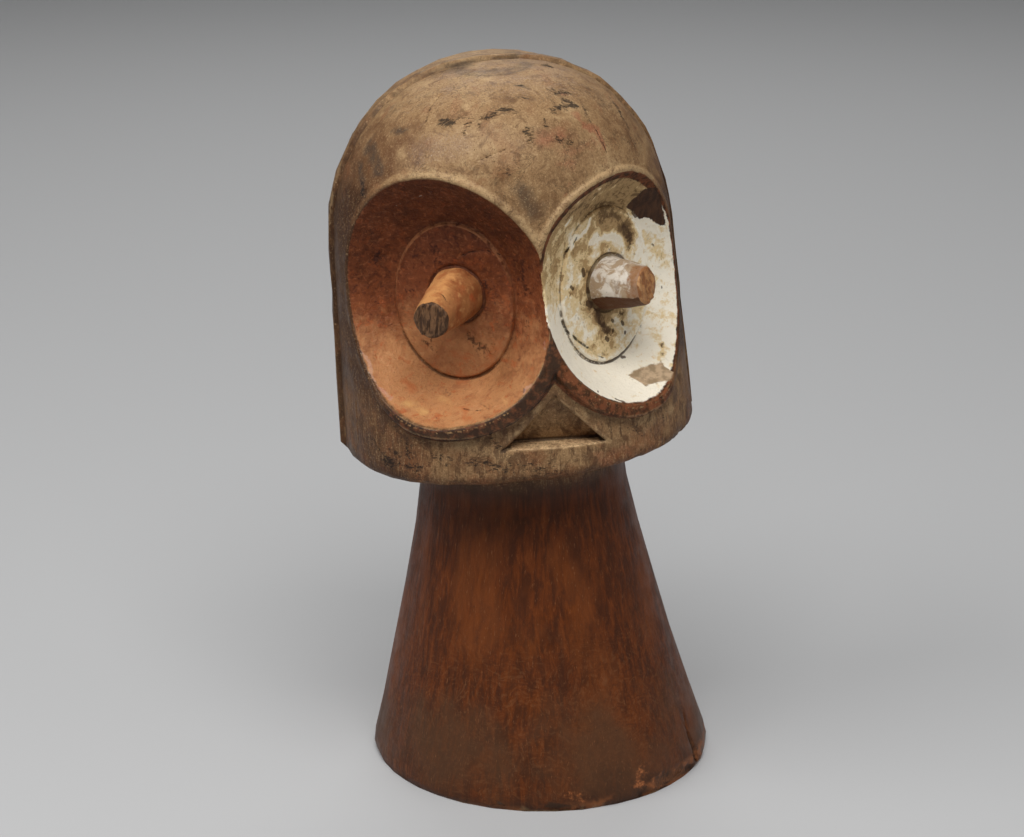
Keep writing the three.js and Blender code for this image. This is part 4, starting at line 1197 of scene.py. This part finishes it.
    # White bowl: bare rim, paint, stains with painted shade, and places where the paint has gone.
    white_in = g.uneven("white_in", n_small, 1.5)
    paint = g.uneven("paint", n_small, 1.3)
    paint = g.uneven(paint, n_fine, 0.7)
    rim = g.mix(g.ease(n_small, 0.4, 0.62), WOOD_DARK, RIM_BROWN)
    spots = g.noise(1.5, 5, 0.72)
    blotch = g.noise(5.5, 5, 0.66, warp=0.5)
    soil_and_shade = g.plus(g.attribute("soil_and_shade"), g.attribute("chalk"), -1.0)
    soil_and_shade = g.plus(soil_and_shade, g.attribute("dirt_and_shadow"), 0.55)
    soil_and_shade = g.plus(soil_and_shade, g.times(g.attribute("far"), 0.3))
    uneven_soil_and_shade = g.uneven(soil_and_shade, blotch, 1.5)
    uneven_soil_and_shade = g.uneven(uneven_soil_and_shade, spots, 0.8)
    white = g.mix(g.ease(uneven_soil_and_shade, 0.12, 0.4), WHITE_CLEAN, WHITE_CREAM)
    white = g.mix(g.times(g.ease(uneven_soil_and_shade, 0.46, 0.64), 0.9), white, OLIVE)
    white = g.mix(g.times(g.ease(uneven_soil_and_shade, 0.74, 0.98), 0.85), white, OLIVE_DARK)
    chips = g.ease(g.noise(2.6, 6, 0.75, warp=0.4), 0.58, 0.63)
    white = g.mix(g.times(chips, g.ease(soil_and_shade, 0.15, 0.5, 0.12, 0.8)), white, rgb(122, 90, 56))
    white = g.mix(
        g.times(g.ease(spots, 0.62, 0.7), g.ease(soil_and_shade, 0.15, 0.6, 0.25, 0.8)), white, rgb(92, 64, 40)
    )
    # Dirt, and below the peg its painted shadow.
    dirt_and_shadow = g.ease(g.uneven("dirt_and_shadow", spots, 1.3), 0.5, 0.85)
    white = g.mix(g.times(dirt_and_shadow, 0.85), white, rgb(72, 50, 34))
    spot = g.ease(g.uneven("spot", n_fine, 0.8), 0.4, 0.7)
    white = g.mix(g.times(spot, 0.85), white, rgb(70, 46, 30))
    chalk = g.ease(g.uneven("chalk", n_fine, 1.4), 0.45, 0.8)
    white = g.mix(g.times(chalk, 0.7), white, rgb(240, 226, 200))
    # Crevices of the white bowl darkened, grime and painted shade.
    white = g.mix(g.times(g.ease(g.attribute("open"), 0.7, 0.3), 0.8), white, rgb(70, 48, 30))
    bowl = g.mix(g.ease(paint, 0.2, 0.6), rim, white)
    bare = g.uneven(g.uneven("bare", n_small, 1.6), n_fine, 0.9)
    bowl = g.mix(g.ease(bare, -0.15, 0.25), bowl, g.mix(g.ease(grain, 0.4, 0.62), rgb(62, 41, 29), BARE_DARK))
    tan_bare = g.uneven(g.uneven("tan_bare", n_small, 1.6), n_fine, 0.9)
    bowl = g.mix(
        g.ease(tan_bare, -0.2, 0.3), bowl, g.mix(g.ease(n_small, 0.4, 0.6), BARE_TAN, rgb(158, 134, 104))
    )
    white_share = g.ease(white_in, 0.0, 0.5)
    colour = g.mix(white_share, colour, bowl)

    # White peg: smeared side, brown top and end, and a dark underside, a painted shade.
    pegw = g.mix(g.ease(blotch, 0.42, 0.56), rgb(178, 154, 126), rgb(226, 217, 204))
    pegw = g.mix(g.times(g.ease(g.noise(3.5, 5, 0.6), 0.54, 0.66), 0.6), pegw, rgb(142, 112, 84))
    end_share = g.ease(g.uneven("along", n_small, 0.5), 0.76, 0.9)
    pegw = g.mix(g.times(end_share, 0.85), pegw, rgb(150, 104, 66))
    pegw = g.mix(g.ease(g.uneven("under", n_small, 1.0), 0.3, 0.6), pegw, rgb(92, 58, 38))
    pegw = g.mix(
        g.ease(g.attribute("white_tip"), 0.35, 0.65),
        pegw,
        g.mix(g.ease(n_small, 0.4, 0.6), rgb(144, 94, 58), rgb(186, 134, 86)),
    )
    colour = g.mix(g.ease(g.attribute("white_peg"), 0.35, 0.65), colour, pegw)

    # Flecks, cracks, spots and scratches over everything.
    fleck_noise = g.noise(0.9, 4, 0.72, at=slant_place, warp=0.6)
    fleck = g.plus(g.times(g.attribute("fleck"), 0.5), g.math("SUBTRACT", fleck_noise, 0.5), 1.5)
    fleck = g.plus(fleck, g.attribute("far"), 0.12)
    fleck = g.ease(fleck, 0.24, 0.42)
    pits = g.times(g.ease(g.noise(0.8, 3, 0.6), 0.66, 0.72), g.ease(head, 0.5, 0.9), 0.55)
    painted = g.math("MAXIMUM", red_share, white_share)
    unpainted = g.math("SUBTRACT", 1.0, painted)
    dark = g.math("MAXIMUM", g.times(fleck, 0.85), g.times(pits, unpainted))
    colour = g.mix(g.times(dark, g.ease(unpainted, 0.0, 1.0, 0.45, 1.0)), colour, SOOT)
    crack = g.ease(g.uneven("crack", n_fine, 0.7), 0.3, 0.6)
    colour = g.mix(g.times(crack, 0.88), colour, rgb(40, 28, 21))
    scratch = g.ease(g.uneven("scratch", n_fine, 0.9), 0.35, 0.6)
    colour = g.mix(g.times(scratch, 0.8), colour, rgb(220, 205, 188))
    # Crevices darkened, grime and painted shade.
    crevice = g.times(g.ease(g.attribute("open"), 0.72, 0.2), unpainted)
    colour = g.mix(g.times(crevice, 0.7), colour, GRIME_AND_SHADE)
    edge = g.times(g.ease(g.attribute("solid"), 0.72, 0.45), g.ease(n_small, 0.38, 0.55), unpainted)
    colour = g.mix(g.times(edge, 0.35), colour, WOOD_PALE)
    g.plug(colour, g.shader.inputs["Base Color"])

    # Sheen: polished forehead and neck, varnished red, chalky white.
    rough = g.level(g.ease(n_mid, 0.35, 0.65), 0.42, 0.62)
    rough = g.level(on_head, g.level(g.ease(n_mid, 0.35, 0.65), 0.42, 0.56), rough)
    rough = g.level(g.times(g.ease(g.attribute("gloss"), 0.0, 0.6), 0.9), rough, 0.2)
    rough = g.level(red_share, rough, g.level(g.ease(crust, 0.4, 0.6), 0.38, 0.6))
    rough = g.level(gloss_and_highlight, rough, 0.16)
    rough = g.level(g.times(white_share, 0.8), rough, 0.72)
    rough = g.level(g.math("MAXIMUM", dark, crack), rough, 0.8)
    g.plug(rough, g.shader.inputs["Roughness"])
    g.shader.inputs["Specular IOR Level"].default_value = 0.2

    # Fine relief of grain, crust, flecks and cracks.
    wood_height = g.plus(g.times(grain, 0.5), n_fine, 0.3)
    wood_height = g.plus(wood_height, n_small, 0.5)
    paint_height = g.plus(crust, n_fine, 0.4)
    height = g.level(painted, wood_height, paint_height)
    height = g.level(on_head, g.plus(g.times(neck_grain, 0.45), n_fine, 0.25), height)
    height = g.level(g.ease(g.attribute("red_tip"), 0.35, 0.65), height, g.times(fibre, 2.2))
    height = g.plus(height, dark, -0.5)
    height = g.plus(height, crack, -1.0)
    height = g.plus(height, g.ease(bare, -0.15, 0.25), -0.7)
    bump = g.tree.nodes.new("ShaderNodeBump")
    bump.inputs["Strength"].default_value = 0.8
    bump.inputs["Distance"].default_value = 0.0006
    g.plug(height, bump.inputs["Height"])
    g.plug(bump.outputs["Normal"], g.shader.inputs["Normal"])


wood = bpy.data.materials.new("carved_wood")
make_wood(wood)
figure.data.materials.clear()
figure.data.materials.append(wood)

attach(figure, "root")
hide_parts("janus_figure")

# ---------------------------------------------------------------- floor, light and camera

FLOOR_HALF = 6.0
floor_mesh = bpy.data.meshes.new("floor")
floor_corners = [(x * FLOOR_HALF, y * FLOOR_HALF, 0) for x, y in ((-1, -1), (1, -1), (1, 1), (-1, 1))]
floor_mesh.from_pydata(floor_corners, [], [(0, 1, 2, 3)])
floor = bpy.data.objects.new("floor", floor_mesh)
bpy.context.scene.collection.objects.link(floor)
paper = bpy.data.materials.new("floor_paper")
paper.use_nodes = True
paper_shader = paper.node_tree.nodes["Principled BSDF"]
paper_shader.inputs["Base Color"].default_value = (0.5, 0.5, 0.5, 1)
paper_shader.inputs["Roughness"].default_value = 0.9
floor_mesh.materials.append(paper)

LIGHT_TARGET = Vector((-0.01, 0, 0.17))


def area_light(name, azimuth, elevation, distance, size, power):
    """A soft box seen from the object at a compass angle from straight ahead and an angle up."""
    data = bpy.data.lights.new(name, "AREA")
    data.shape = "RECTANGLE"
    data.size, data.size_y = size
    data.energy = power
    lamp = bpy.data.objects.new(name, data)
    bpy.context.scene.collection.objects.link(lamp)
    turn, lift = math.radians(azimuth), math.radians(elevation)
    away = Vector((math.sin(turn) * math.cos(lift), -math.cos(turn) * math.cos(lift), math.sin(lift)))
    lamp.location = LIGHT_TARGET + away * distance
    lamp.rotation_euler = away.to_track_quat("Z", "Y").to_euler()


area_light("left_box", -75, 45, 1.5, (0.9, 0.6), 9)
area_light("front_box", -8, 58, 1.5, (1.1, 0.7), 17)
area_light("right_fill", 62, 28, 1.9, (1.2, 1.0), 3.5)
area_light("back_box", 170, 42, 1.8, (1.2, 0.9), 9)
world = bpy.context.scene.world or bpy.data.worlds.new("world")
bpy.context.scene.world = world
world.use_nodes = True
sky = world.node_tree.nodes["Background"]
sky.inputs["Color"].default_value = (0.8, 0.82, 0.85, 1)
sky.inputs["Strength"].default_value = 0.12

camera_data = bpy.data.cameras.new("camera")
camera_data.sensor_width = SENSOR
camera_data.lens = FOCAL_PIXELS * SENSOR / PHOTO_WIDTH
camera = bpy.data.objects.new("camera", camera_data)
bpy.context.scene.collection.objects.link(camera)
camera.location = CAMERA_PLACE
camera.rotation_euler = CAMERA_TURN
bpy.context.scene.camera = camera
bpy.context.scene.view_settings.view_transform = "Standard"
